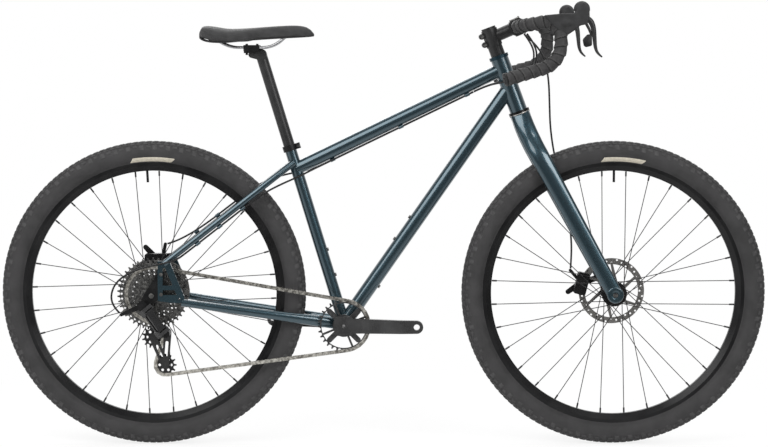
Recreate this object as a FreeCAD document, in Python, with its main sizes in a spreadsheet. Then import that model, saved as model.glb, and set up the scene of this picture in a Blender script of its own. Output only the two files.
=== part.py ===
import FreeCAD, Part
import math
import os
import re
import Sketcher

# Gravel bike with a drop bar, disc brakes and one chainring, in millimetres.
# The origin is on the ground midway between the axles. +X is forward, +Y is the
# rider's left and +Z is up, so the drive side is -Y.

Vector = FreeCAD.Vector
Placement = FreeCAD.Placement
Rotation = FreeCAD.Rotation
ACROSS = Vector(0, 1, 0)
UP = Vector(0, 0, 1)
doc = FreeCAD.newDocument("GravelBike")

# Driving dimensions, in millimetres, degrees and counts
SIZES = {
    # Stance
    "wheelbase": 1112, "tyre_radius": 368, "bottom_bracket_drop": 75, "chainstay_length": 466,
    "seat_tube_angle": 73, "seat_tube_length": 452, "head_angle": 69.5, "fork_rake": 62,
    "fork_length": 484.5,
    # Fits
    "running_fit": 0.05, "clear_gap": 0.3, "wide_gap": 0.6, "cut_overrun": 20,
    # Frame tubes
    "head_tube_length": 150.6, "head_tube_radius": 21.5, "head_tube_bore": 19.6,
    "upper_cup_radius": 23.5, "upper_cup_height": 8, "lower_cup_radius": 25.5,
    "lower_cup_height": 9, "cup_lip_length": 12,
    "top_tube_radius": 15.9, "top_tube_seat_length": 393, "top_tube_head_length": 117,
    "down_tube_radius": 17.5, "down_tube_head_length": 70.5,
    "seat_tube_radius": 14.3, "tube_wall": 1.2,
    "shell_radius": 20.5, "shell_width": 73, "shell_bore": 17.4,
    "shell_cup_radius": 22, "shell_cup_width": 9.5, "shell_sleeve_length": 15,
    # Stays and dropouts
    "stay_wall": 1.2, "chainstay_start_offset": 20, "chainstay_start_height": 15,
    "chainstay_start_halfwidth": 8.5, "chainstay_bend_reach": 100, "chainstay_bend_offset": 40,
    "chainstay_bend_height": 12.5, "chainstay_bend_halfwidth": 8, "chainstay_end_radius": 9,
    "chainstay_end_reach": 72, "chainstay_end_drop": 16,
    "seatstay_radius": 8, "seatstay_top_drop": 42, "seatstay_top_offset": 21,
    "seatstay_bend_share": 0.2, "seatstay_bend_offset": 44, "seatstay_end_reach": 30,
    "seatstay_end_rise": 76, "bridge_radius": 6.5, "seat_bridge_share": 0.15,
    "chain_bridge_share": 0.42,
    "rear_hub_width": 142, "axle_plate_thickness": 5, "dropout_thickness": 6,
    "dropout_rear_reach": 16, "dropout_top_reach": 44, "dropout_top_rise": 84,
    "dropout_foot_reach": 79, "dropout_foot_rise": 17, "dropout_bar": 12,
    "eyelet_radius": 2.5, "eyelet_reach": 67, "eyelet_drop": 7, "axle_plate_radius": 17,
    "hanger_reach": 21, "hanger_drop": 23, "hanger_radius": 9, "plate_bolt_radius": 3.2,
    "plate_bolt_rise": 52, "plate_bolt_reach": 24, "plate_bolt_head": 4,
    # Headset, steerer, stem
    "steerer_radius": 14.3, "spacer_radius": 17.5, "spacer_height": 12, "stem_clamp_radius": 19.5,
    "stem_clamp_height": 42, "stem_rise_angle": 23.5, "stem_length": 66, "stem_tube_radius": 15,
    "bar_clamp_radius": 21.5, "bar_clamp_halfwidth": 22, "faceplate_gap": 1.5,
    "top_cap_height": 5, "stem_bolt_radius": 2.6, "stem_bolt_head": 4.2, "stem_bolt_length": 15,
    "steerer_short": 3, "steerer_wall": 3,
    # Fork
    "crown_top_radius": 24.5, "crown_height": 56, "crown_depth": 47, "crown_halfwidth": 54,
    "crown_corner": 15, "arch_halfwidth": 36, "arch_height": 30, "leg_top_width": 18,
    "leg_mid_depth": 42, "leg_end_depth": 37, "leg_end_width": 13, "leg_corner": 6,
    "front_hub_width": 100, "fork_eye_radius": 20,
    # Wheels
    "tyre_section": 28, "tyre_wall": 3.5, "rim_radius": 317, "rim_seat_radius": 311,
    "rim_well_radius": 304, "rim_inner_radius": 296, "rim_halfwidth": 15, "rim_lip": 2.5,
    "rim_floor": 5, "axle_radius": 6, "axle_head_radius": 10, "axle_head_length": 6,
    "axle_end_length": 3, "spoke_count": 32, "spoke_crosses": 3, "spoke_radius": 1,
    "nipple_radius": 2.1, "nipple_length": 12, "flange_radius": 27, "spoke_circle_radius": 25,
    "flange_halfwidth": 1.6, "hub_barrel_radius": 13, "hub_end_radius": 10,
    "front_left_flange": 23, "front_right_flange": 33, "rear_left_flange": 34,
    "rear_right_flange": 19, "front_rotor_inset": 10.5, "rear_rotor_inset": 15.5,
    "rotor_radius": 80, "rotor_band": 15, "rotor_halfwidth": 0.9, "rotor_bolt_circle": 22,
    "rotor_carrier_radius": 27, "rotor_arm_width": 9, "rotor_arm_count": 6, "rotor_hole": 3.2,
    "rotor_hole_count": 36, "rotor_bolt_height": 2.5, "rear_valve_lean": 3,
    "spoke_seat_gap": 0.9, "rim_hole_offset": 1.5, "valve_radius": 3, "valve_length": 32,
    "freehub_radius": 17,
    # Drivetrain
    "chain_pitch": 12.7, "chain_line": 48.5, "ring_teeth": 30, "cage_search_angle": 12,
    "smallest_cog_line": 66.5, "cog_spacing": 3.85, "cog_halfwidth": 0.8, "seat_wrap": 75,
    "roller_radius": 3.9, "seat_relief": 0.35, "tooth_height": 2.4, "tooth_tip_share": 0.12,
    "chain_settle_share": 0.08,
    "link_plate_radius": 4.2, "link_plate": 0.65, "inner_link_halfwidth": 1.2,
    "pin_radius": 1.75, "pin_gap": 0.2, "link_gap": 0.08, "jockey_teeth": 12,
    "jockey_hub_radius": 8, "jockey_hole_radius": 3.2, "jockey_hole_ring": 14, "jockey_holes": 6,
    "cog_window_radius": 2.5, "cog_window_drop": 8.3, "cog_window_pitch": 12, "cage_window_radius": 3.6,
    "jockey_pin_radius": 2.5,
    "ring_inner_radius": 54, "spider_width": 13, "spider_hub_radius": 27, "thin_spoke_width": 5,
    "crank_length": 175, "crank_gap": 2.2, "ring_arm_thickness": 3, "ring_arm_overlap": 1,
    "crank_hub_height": 46, "crank_mid_height": 36,
    "crank_end_radius": 15.5, "crank_thickness": 13, "crank_end_thickness": 12,
    "crank_flare": 20, "crank_corner": 8, "spindle_radius": 12, "spindle_bore": 8,
    "pedal_thread_radius": 7.14, "spindle_cap_radius": 4.5,
    # Derailleur
    "knuckle_radius": 12, "link_reach": 55, "link_plane_angle": 50.1,
    "link_rest_angle": 12.1, "link_tilt_angle": 32, "link_root_reach": 14,
    "link_root_drop": 14, "link_root_offset": 9, "knuckle_length": 20, "ear_reach": 8,
    "cable_arm_drop": 21,
    "cable_arm_thickness": 6, "cable_arm_radius": 7, "cage_boss_length": 3,
    "cage_knuckle_overlap": 8,
    "cage_pin_length": 10, "link_spacing": 15, "link_width": 20,
    "link_barrel_radius": 3.6, "link_pin_radius": 1.8, "ear_thickness": 4, "ear_radius": 4.6,
    "cage_pivot_reach": 35.5, "cage_pivot_drop": 91, "cage_pivot_radius": 9,
    "cage_pivot_pin": 4, "upper_jockey_reach": -1, "upper_jockey_drop": 104,
    "lower_jockey_reach": 28, "lower_jockey_drop": 172, "cage_plate": 2, "cage_halfwidth": 5,
    "cage_plate_radius": 9, "cable_arm_reach": 50, "cable_stop_radius": 4,
    # Seat
    "post_radius": 13.6, "post_wall": 2.2, "post_exposed": 228, "post_insert": 165,
    "collar_radius": 17.5, "collar_height": 14, "collar_lug": 8, "collar_bolt_radius": 2.5,
    "saddle_length": 273, "saddle_halfwidth": 71, "saddle_height": 40, "saddle_tail_reach": 346,
    "saddle_top_rise": 718, "rail_radius": 3.5, "rail_halfspan": 22,
    "rail_straight_rear": 74, "rail_straight_front": 176, "rail_nose": 216, "rail_tail": 34,
    "rail_tail_halfspan": 30, "rail_tail_rise": 22, "rail_nose_halfspan": 12, "rail_nose_rise": 34,
    "base_thickness": 4, "clamp_setback": 22, "clamp_rise": 17, "post_head_radius": 8,
    "clamp_halflength": 19, "clamp_halfwidth": 28,
    "clamp_height": 9, "clamp_bolt_radius": 3,
    # Bar and controls
    "bar_radius": 11.9, "bar_center_radius": 15.9, "bar_center_halfwidth": 32,
    "bar_taper_length": 15, "bar_wall": 2, "bar_bend_offset": 178, "bar_ramp_reach": 89,
    "bar_ramp_offset": 212, "bar_ramp_rise": 16, "bar_drop_offset": 228, "bar_drop": 86,
    "bar_end_reach": 40, "bar_end_offset": 265, "bar_end_drop": 123, "tape_radius": 16.3,
    "tape_start": 62, "plug_length": 4, "hood_halfwidth": 15.5, "hood_clearance": 0.4,
    "hood_offset": 216, "hood_length": 105, "hood_height": 84, "hood_start": 51, "hood_drop": 26,
    "lever_side_gap": 1.5, "lever_slot_rear": 21, "lever_slot_top": 14,
    "lever_pivot_reach": 140, "lever_pivot_rise": 20, "lever_pin_radius": 2.5,
    "lever_halfwidth": 6, "lever_tip_reach": 45, "lever_tip_drop": 96, "lever_depth": 14,
    "paddle_halfwidth": 2, "paddle_length": 28, "paddle_width": 21,
    "paddle_drop": 20, "paddle_reach": 4, "paddle_stem": 8, "paddle_lug_length": 9,
    "paddle_lug_radius": 4.5, "paddle_pin_radius": 2.2,
    # Brakes
    "caliper_slot": 1.6, "caliper_halflength": 27, "caliper_depth": 15, "caliper_inner": 12,
    "caliper_corner": 5, "brake_arm_thickness": 4, "brake_arm_radius": 6,
    "brake_pivot_radius": 4, "brake_boss_radius": 8, "brake_pin_length": 8, "pad_circle_radius": 75,
    "rear_caliper_angle": 91, "front_caliper_angle": 166, "axle_plate_gap": 1.2,
    "caliper_lug_radius": 7, "caliper_lug_thickness": 7, "rear_lug_share": 0.96,
    "rear_stop_reach": 22, "rear_stop_rise": 37, "rear_arm_reach": 27, "rear_arm_rise": 29,
    "front_upper_lug_reach": 28, "front_upper_lug_rise": 40, "front_lower_lug_reach": 40,
    "front_lower_lug_rise": 14, "front_stop_reach": 27, "front_stop_rise": 31,
    "front_arm_reach": 32, "front_arm_drop": 22,
    # Cords
    "housing_radius": 2.3, "guide_length": 12, "guide_wall": 1.6, "housing_spread": 5,
    "bolt_head_radius": 4.2,
    "bolt_head_height": 3, "seat_bolt_low": 120, "seat_bolt_high": 184, "down_bolt_low": 239,
    "down_bolt_high": 303, "under_bolt": 122,
}

sheet = doc.addObject("Spreadsheet::Sheet", "Sizes")
for row, (alias, number) in enumerate(SIZES.items(), start=1):
    sheet.set(f"A{row}", alias)
    sheet.set(f"B{row}", str(number))
    sheet.setAlias(f"B{row}", alias)
doc.recompute()

NODES = {}


def size(alias):
    """The value of one cell of the sheet."""
    return float(sheet.get(alias))


def bound(expression):
    """The expression with each alias pointed at the sheet."""
    return re.sub(r"[a-z][a-z_]+", r"Sizes.\g<0>", expression)


def keep(label, item):
    """Make a document object one of the sub-parts."""
    item.Label = label
    NODES[label] = item
    return item


def primitive(kind, name, spot=None, **expressions):
    """A Part primitive whose sizes are bound to the sheet."""
    item = doc.addObject(kind, name)
    for quantity, expression in expressions.items():
        item.setExpression(quantity, bound(expression))
    if spot:
        item.Placement = spot
    return item


def cut(name, base, tool):
    """A Part::Cut of two document objects."""
    item = doc.addObject("Part::Cut", name)
    item.Base = base
    item.Tool = tool
    return item


def feature(label, shape):
    """A sub-part whose shape is made with Part's own functions."""
    item = doc.addObject("Part::Feature", label)
    item.Shape = shape
    return keep(label, item)


def outline_body(label, plane, corners):
    """A body with a closed sketch whose every corner is bound to the sheet."""
    body = doc.addObject("PartDesign::Body", label)
    sketch = body.newObject("Sketcher::SketchObject", label + "_outline")
    support = [item for item in body.Origin.OriginFeatures if item.Role == plane][0]
    sketch.AttachmentSupport = (support, "")
    sketch.MapMode = "FlatFace"
    count = len(corners)
    turns = [math.tau * index / count for index in range(count + 1)]
    start = [Vector(math.cos(turn), math.sin(turn), 0) for turn in turns]
    for index in range(count):
        sketch.addGeometry(Part.LineSegment(start[index], start[index + 1]))
    for index in range(count):
        follower = (index + 1) % count
        sketch.addConstraint(Sketcher.Constraint("Coincident", index, 2, follower, 1))
    for index, corner in enumerate(corners):
        for kind, expression in zip(("DistanceX", "DistanceY"), corner):
            number = sketch.addConstraint(Sketcher.Constraint(kind, -1, 1, index, 1, 1.0))
            sketch.setExpression(f"Constraints[{number}]", bound(expression))
    return body, sketch


def revolved(label, corners, spot):
    """A body turned about the Y axis from corners of radius and offset."""
    body, sketch = outline_body(label, "XY_Plane", corners)
    turned = body.newObject("PartDesign::Revolution", label + "_turned")
    turned.Profile = sketch
    turned.ReferenceAxis = (sketch, ["V_Axis"])
    turned.Angle = 360
    body.Placement = spot
    return body


def rod(start, end, radius):
    """A round bar from one point to another."""
    return Part.makeCylinder(radius, (end - start).Length, start, end - start)


def tube(start, end, radius, bore):
    """A hollow round bar."""
    return rod(start, end, radius).cut(rod(start, end, bore))


def union(shapes):
    """One solid from several that meet."""
    return shapes[0].multiFuse(shapes[1:]).removeSplitter()


def extrude(points, start, depth):
    """A prism from a closed polygon in the XZ plane, from Y = start over depth."""
    corners = [Vector(point.x, start, point.z) for point in points]
    face = Part.Face(Part.makePolygon(corners + corners[:1]))
    return face.extrude(ACROSS * depth)


def link_bar(first, first_radius, second, second_radius, start, depth):
    """A flat bar with round ends, tangent to both ends, in the XZ plane."""
    along = Vector(second.x - first.x, 0, second.z - first.z)
    reach = along.Length
    along.normalize()
    side = Vector(-along.z, 0, along.x)
    lean = (first_radius - second_radius) / reach
    rise = math.sqrt(1 - lean * lean)
    points = []
    for spot, radius in ((first, first_radius), (second, second_radius)):
        for sign in (1, -1):
            points.append(spot + along * (lean * radius) + side * (sign * rise * radius))
    body = extrude([points[0], points[2], points[3], points[1]], start, depth)
    ends = []
    for spot, radius in ((first, first_radius), (second, second_radius)):
        ends.append(Part.makeCylinder(radius, depth, Vector(spot.x, start, spot.z), ACROSS))
    return union([body] + ends)


def mirrored(shape):
    """The same piece on the other side of the bike."""
    return shape.mirror(Vector(0, 0, 0), ACROSS)


def cord_wire(points):
    """Straight runs joined by tangent arcs as large as the runs allow."""
    tangent_share = 0.45
    edges = []
    radii = []
    last = points[0]
    for index in range(1, len(points) - 1):
        corner = points[index]
        back = points[index - 1] - corner
        ahead = points[index + 1] - corner
        reach = tangent_share * min(back.Length, ahead.Length)
        back.normalize()
        ahead.normalize()
        half = back.getAngle(ahead) / 2
        middle = back + ahead
        middle.normalize()
        radius = reach * math.tan(half)
        apex = corner + middle * (reach / math.cos(half) - radius)
        enter = corner + back * reach
        leave = corner + ahead * reach
        edges.append(Part.LineSegment(last, enter).toShape())
        edges.append(Part.Arc(enter, apex, leave).toShape())
        radii.append(round(radius, 1))
        last = leave
    edges.append(Part.LineSegment(last, points[-1]).toShape())
    return Part.Wire(edges), radii


def cord(points, radius, name=None):
    """A round cord along a route, with its volume checked against its length."""
    wire, radii = cord_wire(points)
    heading = points[1] - points[0]
    ring = Part.Wire(Part.makeCircle(radius, points[0], heading))
    solid = wire.makePipeShell([ring], True, False)
    expected = math.pi * radius * radius * wire.Length
    if name:
        print(name, "radii", radii, "volume ratio", round(solid.Volume / expected, 4))
    return solid


def oval(centre, heading, halfheight, halfwidth):
    """An oval section, taller than wide, square to a heading."""
    ring = Part.Ellipse(Vector(0, 0, 0), halfheight, halfwidth).toShape()
    ring.Placement = Placement(centre, Rotation(UP, ACROSS, heading, "ZXY"))
    return Part.Wire(ring)


def between(first, second, share):
    """The point at a share of the way from one point to another."""
    return first + (second - first) * share


# Places that the rest of the bike hangs on
rear_axle = Vector(-size("wheelbase") / 2, 0, size("tyre_radius"))
front_axle = Vector(size("wheelbase") / 2, 0, size("tyre_radius"))
stay_reach = math.sqrt(size("chainstay_length") ** 2 - size("bottom_bracket_drop") ** 2)
crank_centre = rear_axle + Vector(stay_reach, 0, -size("bottom_bracket_drop"))
seat_slope = math.radians(size("seat_tube_angle"))
seat_axis = Vector(-math.cos(seat_slope), 0, math.sin(seat_slope))
seat_front = Vector(math.sin(seat_slope), 0, math.cos(seat_slope))
seat_top = crank_centre + seat_axis * size("seat_tube_length")
head_slope = math.radians(size("head_angle"))
steer_axis = Vector(-math.cos(head_slope), 0, math.sin(head_slope))
steer_front = Vector(math.sin(head_slope), 0, math.cos(head_slope))
head_low = front_axle - steer_front * size("fork_rake") + steer_axis * size("fork_length")
head_top = head_low + steer_axis * size("head_tube_length")
top_tube_rear = crank_centre + seat_axis * size("top_tube_seat_length")
top_tube_front = head_low + steer_axis * size("top_tube_head_length")
down_tube_front = head_low + steer_axis * size("down_tube_head_length")
fit = size("running_fit")
gap = size("clear_gap")
overrun = size("cut_overrun")


def across_spot(centre, offset):
    """A placement that turns +Z towards +Y, at an offset across the bike."""
    return Placement(centre + ACROSS * offset, Rotation(UP, ACROSS))


def head_tube():
    spot = Placement(head_low + steer_axis * size("lower_cup_height"), Rotation(UP, steer_axis))
    height = "head_tube_length - lower_cup_height - upper_cup_height"
    outside = primitive("Part::Cylinder", "HeadTubeOutside", spot,
                        Radius="head_tube_radius", Height=height)
    bore = primitive("Part::Cylinder", "HeadTubeBore", spot, Radius="head_tube_bore", Height=height)
    keep("head_tube", cut("HeadTube", outside, bore))


def bottom_bracket_shell():
    spot = across_spot(crank_centre, -size("shell_width") / 2)
    outside = primitive("Part::Cylinder", "ShellOutside", spot,
                        Radius="shell_radius", Height="shell_width")
    bore = primitive("Part::Cylinder", "ShellBore", spot, Radius="shell_bore", Height="shell_width")
    keep("bottom_bracket_shell", cut("BottomBracketShell", outside, bore))


def frame_rods():
    """The outsides of the main tubes, which their neighbours are mitred against."""
    side = ACROSS * (size("shell_width") / 2)
    return {
        "head": rod(head_low, head_top, size("head_tube_radius")),
        "seat": rod(crank_centre, seat_top, size("seat_tube_radius")),
        "down": rod(crank_centre, down_tube_front, size("down_tube_radius")),
        "top": rod(top_tube_rear, top_tube_front, size("top_tube_radius")),
        "shell": rod(crank_centre - side, crank_centre + side, size("shell_radius")),
    }


def main_tubes(rods):
    wall = size("tube_wall")
    radius = size("top_tube_radius")
    shape = tube(top_tube_rear, top_tube_front, radius, radius - wall)
    feature("top_tube", shape.cut(rods["seat"]).cut(rods["head"]))
    radius = size("down_tube_radius")
    shape = tube(crank_centre, down_tube_front, radius, radius - wall)
    feature("down_tube", shape.cut(rods["shell"]).cut(rods["head"]))
    bore = size("post_radius") + fit
    shape = tube(crank_centre, seat_top, size("seat_tube_radius"), bore)
    shape = shape.cut(rods["shell"]).cut(rods["down"])
    feature("seat_tube", max(shape.Solids, key=lambda solid: solid.Volume))


def bearing_cups():
    """Two headset cups and two bottom bracket cups, each with a lip in its tube."""
    bore = size("steerer_radius") + fit
    lip = size("head_tube_bore") - fit
    cups = []
    upper = head_top - steer_axis * size("upper_cup_height")
    lower = head_low + steer_axis * size("lower_cup_height")
    reach = steer_axis * size("cup_lip_length")
    for outer, inner, lip_end, radius in (
            (head_top, upper, upper - reach, size("upper_cup_radius")),
            (head_low, lower, lower + reach, size("lower_cup_radius"))):
        body = union([rod(inner, outer, radius), rod(lip_end, inner, lip)])
        cups.append(body.cut(rod(lip_end, outer, bore)))
    bore = size("spindle_radius") + fit
    lip = size("shell_bore") - fit
    for sign in (1, -1):
        face = crank_centre + ACROSS * (sign * size("shell_width") / 2)
        outer = face + ACROSS * (sign * size("shell_cup_width"))
        inner = face - ACROSS * (sign * size("shell_sleeve_length"))
        body = union([rod(face, outer, size("shell_cup_radius")), rod(inner, face, lip)])
        cups.append(body.cut(rod(inner, outer, bore)))
    feature("bearing_cups", Part.makeCompound(cups))


plate_face = size("rear_hub_width") / 2
dropout_face = plate_face + size("axle_plate_thickness")
dropout_line = dropout_face + size("dropout_thickness") / 2
dropout_end = dropout_face + size("dropout_thickness")
plate_bolts = [rear_axle + Vector(size("plate_bolt_reach"), 0, rise)
               for rise in (size("plate_bolt_rise"), size("plate_bolt_head"))]


def side_bolts(radius, sign):
    """The bolts that hold an axle plate to its dropout, as bars of one radius."""
    side = ACROSS * sign
    return [rod(spot + side * plate_face, spot + side * dropout_end, radius) for spot in plate_bolts]


def dropout(sign):
    """A flat plate with two windows, in the frame's colour."""
    rear = size("dropout_rear_reach")
    top = size("dropout_top_rise")
    bar = size("dropout_bar")
    foot = size("dropout_foot_rise")
    crossing_shares = (0.03, 0.17, 0.3, 0.8)
    eyelet = rear_axle + Vector(size("eyelet_reach"), 0, -size("eyelet_drop"))

    def sloped(rise):
        lean = size("dropout_foot_reach") - size("dropout_top_reach")
        return size("dropout_top_reach") + lean * (top - rise) / top

    outline = [(rear, top), (sloped(top), top), (sloped(0), 0), (sloped(0), -foot),
               (size("eyelet_reach") - bar, -foot), (rear, -bar)]
    start = dropout_face if sign > 0 else -dropout_end
    plate = extrude([rear_axle + Vector(x, 0, z) for x, z in outline], start, dropout_end - dropout_face)
    for low_share, high_share in (crossing_shares[:2], crossing_shares[2:]):
        low = low_share * top
        high = high_share * top
        edge = bar * math.sqrt(2)
        window = [(rear + bar, low), (sloped(low) - edge, low),
                  (sloped(high) - edge, high), (rear + bar, high)]
        opening = extrude([rear_axle + Vector(x, 0, z) for x, z in window],
                          -dropout_end - overrun, 2 * (dropout_end + overrun))
        plate = plate.cut(opening)
    side = ACROSS * (dropout_end + overrun)
    plate = plate.cut(rod(eyelet - side, eyelet + side, size("eyelet_radius")))
    for hole in side_bolts(size("plate_bolt_radius") + fit, sign):
        plate = plate.cut(hole)
    return plate


def axle_plates():
    """The black plates that carry the axle; the right one has the derailleur hanger."""
    plates = []
    for sign in (1, -1):
        start = plate_face if sign > 0 else -dropout_face
        depth = dropout_face - plate_face
        radius = size("axle_plate_radius")
        small = size("hanger_radius")
        arms = [link_bar(rear_axle, radius, spot, small, start, depth) for spot in plate_bolts]
        if sign < 0:
            arms.append(link_bar(rear_axle, radius, hanger, small, start, depth))
        plate = union(arms)
        side = ACROSS * (dropout_end + overrun)
        plate = plate.cut(rod(rear_axle - side, rear_axle + side, size("axle_radius") + fit))
        for hole in side_bolts(size("plate_bolt_radius") + fit, sign):
            plate = plate.cut(hole)
        plates.append(plate)
    feature("axle_plates", Part.makeCompound(plates))


hanger = rear_axle + Vector(-size("hanger_reach"), 0, -size("hanger_drop"))


def chainstay(shrink):
    """The left chainstay, tall and narrow by the shell and round at the dropout."""
    start = crank_centre + ACROSS * size("chainstay_start_offset")
    end = rear_axle + Vector(size("chainstay_end_reach"), dropout_line, -size("chainstay_end_drop"))
    share = size("chainstay_bend_reach") / (start.x - end.x)
    bend = between(start, end, share)
    bend.y = size("chainstay_bend_offset")
    round_end = size("chainstay_end_radius") - shrink
    sections = [
        oval(start, bend - start, size("chainstay_start_height") - shrink,
             size("chainstay_start_halfwidth") - shrink),
        oval(bend, end - start, size("chainstay_bend_height") - shrink,
             size("chainstay_bend_halfwidth") - shrink),
        oval(end, end - bend, round_end, round_end),
    ]
    return Part.makeLoft(sections, True, False)


def stay_bridge(first, second):
    return rod(first, second, size("bridge_radius"))


def stays(rods):
    dropouts = {sign: dropout(sign) for sign in (1, -1)}
    feature("dropouts", Part.makeCompound(list(dropouts.values())))
    solid = chainstay(0).cut(rods["shell"]).cut(rods["seat"]).cut(dropouts[1])
    hollow = solid.cut(chainstay(size("stay_wall")))
    hollow = max(hollow.Solids, key=lambda piece: piece.Volume)
    reach = size("chainstay_bend_reach") * size("chain_bridge_share")
    middle = crank_centre + Vector(-reach, 0, reach * size("bottom_bracket_drop") / stay_reach)
    side = ACROSS * size("chainstay_bend_offset")
    bridge = stay_bridge(middle - side, middle + side).cut(solid).cut(mirrored(solid))
    bridge = min(bridge.Solids, key=lambda piece: abs(piece.CenterOfMass.y))
    feature("chainstays", Part.makeCompound([hollow, mirrored(hollow), bridge]))

    route = seatstay_route()
    solid = cord(route, size("seatstay_radius")).cut(rods["seat"]).cut(rods["top"]).cut(dropouts[1])
    hollow = solid.cut(cord(route, size("seatstay_radius") - size("stay_wall")))
    hollow = max(hollow.Solids, key=lambda piece: piece.Volume)
    middle = between(route[0], route[2], size("seat_bridge_share"))
    middle.y = 0
    side = ACROSS * size("seatstay_bend_offset")
    bridge = stay_bridge(middle - side, middle + side).cut(solid).cut(mirrored(solid))
    bridge = min(bridge.Solids, key=lambda piece: abs(piece.CenterOfMass.y))
    feature("seatstays", Part.makeCompound([hollow, mirrored(hollow), bridge]))


def seatstay_route():
    """The left seatstay's axis, bent out round the tyre."""
    start = seat_top - seat_axis * size("seatstay_top_drop") + ACROSS * size("seatstay_top_offset")
    end = rear_axle + Vector(size("seatstay_end_reach"), dropout_line, size("seatstay_end_rise"))
    bend = between(start, end, size("seatstay_bend_share"))
    bend.y = size("seatstay_bend_offset")
    return [start, bend, end]


def rear_axle_bar():
    """The thru axle, with its head on the left plate."""
    inner = rear_axle - ACROSS * (dropout_face + size("axle_end_length"))
    outer = rear_axle + ACROSS * dropout_face
    head = outer + ACROSS * size("axle_head_length")
    bar = union([rod(inner, outer, size("axle_radius")), rod(outer, head, size("axle_head_radius"))])
    feature("rear_axle", bar)


head_tube()
bottom_bracket_shell()
FRAME_RODS = frame_rods()
main_tubes(FRAME_RODS)
bearing_cups()
stays(FRAME_RODS)
axle_plates()
rear_axle_bar()


def turned_place(axle, radius, angle, offset=0):
    """A point at a radius and an angle about a wheel's axle."""
    return axle + Vector(radius * math.cos(angle), offset, radius * math.sin(angle))


def tyre(side, axle):
    """A hollow casing that sits on the rim's lips."""
    spot = across_spot(axle, 0)
    middle = "tyre_radius - tyre_section"
    outside = primitive("Part::Torus", side + "TyreOutside", spot,
                        Radius1=middle, Radius2="tyre_section")
    inside = primitive("Part::Torus", side + "TyreInside", spot,
                       Radius1=middle, Radius2="tyre_section - tyre_wall")
    rim_space = primitive("Part::Cylinder", side + "TyreRimSpace",
                          across_spot(axle, -size("tyre_section")),
                          Radius="rim_radius + clear_gap", Height="2 * tyre_section")
    casing = cut(side + "TyreCasing", outside, inside)
    keep(side + "_tyre", cut(side + "Tyre", casing, rim_space))


def rim(side, axle, valve_angle):
    """A welled rim with its valve."""
    lip = "rim_halfwidth - rim_lip"
    skirt = "rim_seat_radius - rim_lip"
    corners = [
        ("rim_radius", "rim_halfwidth"), ("rim_radius", lip), ("rim_seat_radius", lip),
        ("rim_well_radius", "rim_floor"), ("rim_well_radius", "-rim_floor"),
        ("rim_seat_radius", f"-({lip})"), ("rim_radius", f"-({lip})"),
        ("rim_radius", "-rim_halfwidth"), (skirt, "-rim_halfwidth"),
        ("rim_inner_radius", "-rim_floor"), ("rim_inner_radius", "rim_floor"),
        (skirt, "rim_halfwidth"),
    ]
    hoop = revolved(side + "_hoop", corners, Placement(axle, Rotation()))
    inward = Vector(-math.cos(valve_angle), 0, -math.sin(valve_angle))
    floor = (size("rim_well_radius") + size("rim_inner_radius")) / 2
    stem_spot = Placement(turned_place(axle, floor, valve_angle), Rotation(UP, inward))
    valve = primitive("Part::Cylinder", side + "Valve", stem_spot,
                      Radius="valve_radius", Height="valve_length")
    whole = doc.addObject("Part::Fuse", side + "Rim")
    whole.Base = hoop
    whole.Tool = valve
    keep(side + "_rim", whole)


def spokes(side, axle, left_flange, right_flange, clock):
    """Crossed spokes with their nipples, half of them on each flange."""
    per_flange = int(size("spoke_count")) // 2
    step = math.tau / per_flange
    lace = step * size("spoke_crosses")
    lift = size("flange_halfwidth") + size("spoke_radius") + size("spoke_seat_gap")
    solids = []
    for flange, flange_clock, rim_offset in (
            (left_flange, clock, size("rim_hole_offset")),
            (-right_flange, clock + step / 2, -size("rim_hole_offset"))):
        for index in range(per_flange):
            lean = 1 if index % 2 == 0 else -1
            angle = flange_clock + index * step
            start = turned_place(axle, size("spoke_circle_radius"), angle, flange + lean * lift)
            end_radius = size("rim_inner_radius") - size("wide_gap")
            end = turned_place(axle, end_radius, angle + lean * lace, rim_offset)
            heading = end - start
            heading.normalize()
            seat = end - heading * size("nipple_length")
            wire = rod(start, end, size("spoke_radius"))
            solids.append(union([wire, rod(seat, end, size("nipple_radius"))]))
    feature(side + "_spokes", Part.makeCompound(solids))


def hub(side, axle, left_flange, right_flange, left_end, right_end, rotor_face):
    """A turned hub with two flanges and a boss for the rotor."""
    bore = "axle_radius + running_fit"
    boss = "rotor_bolt_circle + rotor_hole"
    rotor_end = f"({rotor_face}) + 2 * rotor_halfwidth"
    corners = [
        (bore, f"-({right_end})"), ("hub_end_radius", f"-({right_end})"),
        ("hub_end_radius", f"-({right_flange} + flange_halfwidth)"),
        ("flange_radius", f"-({right_flange} + flange_halfwidth)"),
        ("flange_radius", f"-({right_flange} - flange_halfwidth)"),
        ("hub_barrel_radius", f"-({right_flange} - flange_halfwidth)"),
        ("hub_barrel_radius", f"{left_flange} - flange_halfwidth"),
        ("flange_radius", f"{left_flange} - flange_halfwidth"),
        ("flange_radius", f"{left_flange} + flange_halfwidth"),
        ("hub_barrel_radius", f"{left_flange} + flange_halfwidth"),
        ("hub_barrel_radius", f"({left_flange} + {rotor_face}) / 2"),
        (boss, f"({left_flange} + {rotor_face}) / 2"),
        (boss, rotor_face), ("hub_barrel_radius", rotor_face),
        ("hub_barrel_radius", rotor_end), ("hub_end_radius", rotor_end),
        ("hub_end_radius", left_end), (bore, left_end),
    ]
    keep(side + "_hub", revolved(side + "_hub", corners, Placement(axle, Rotation())))


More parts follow.
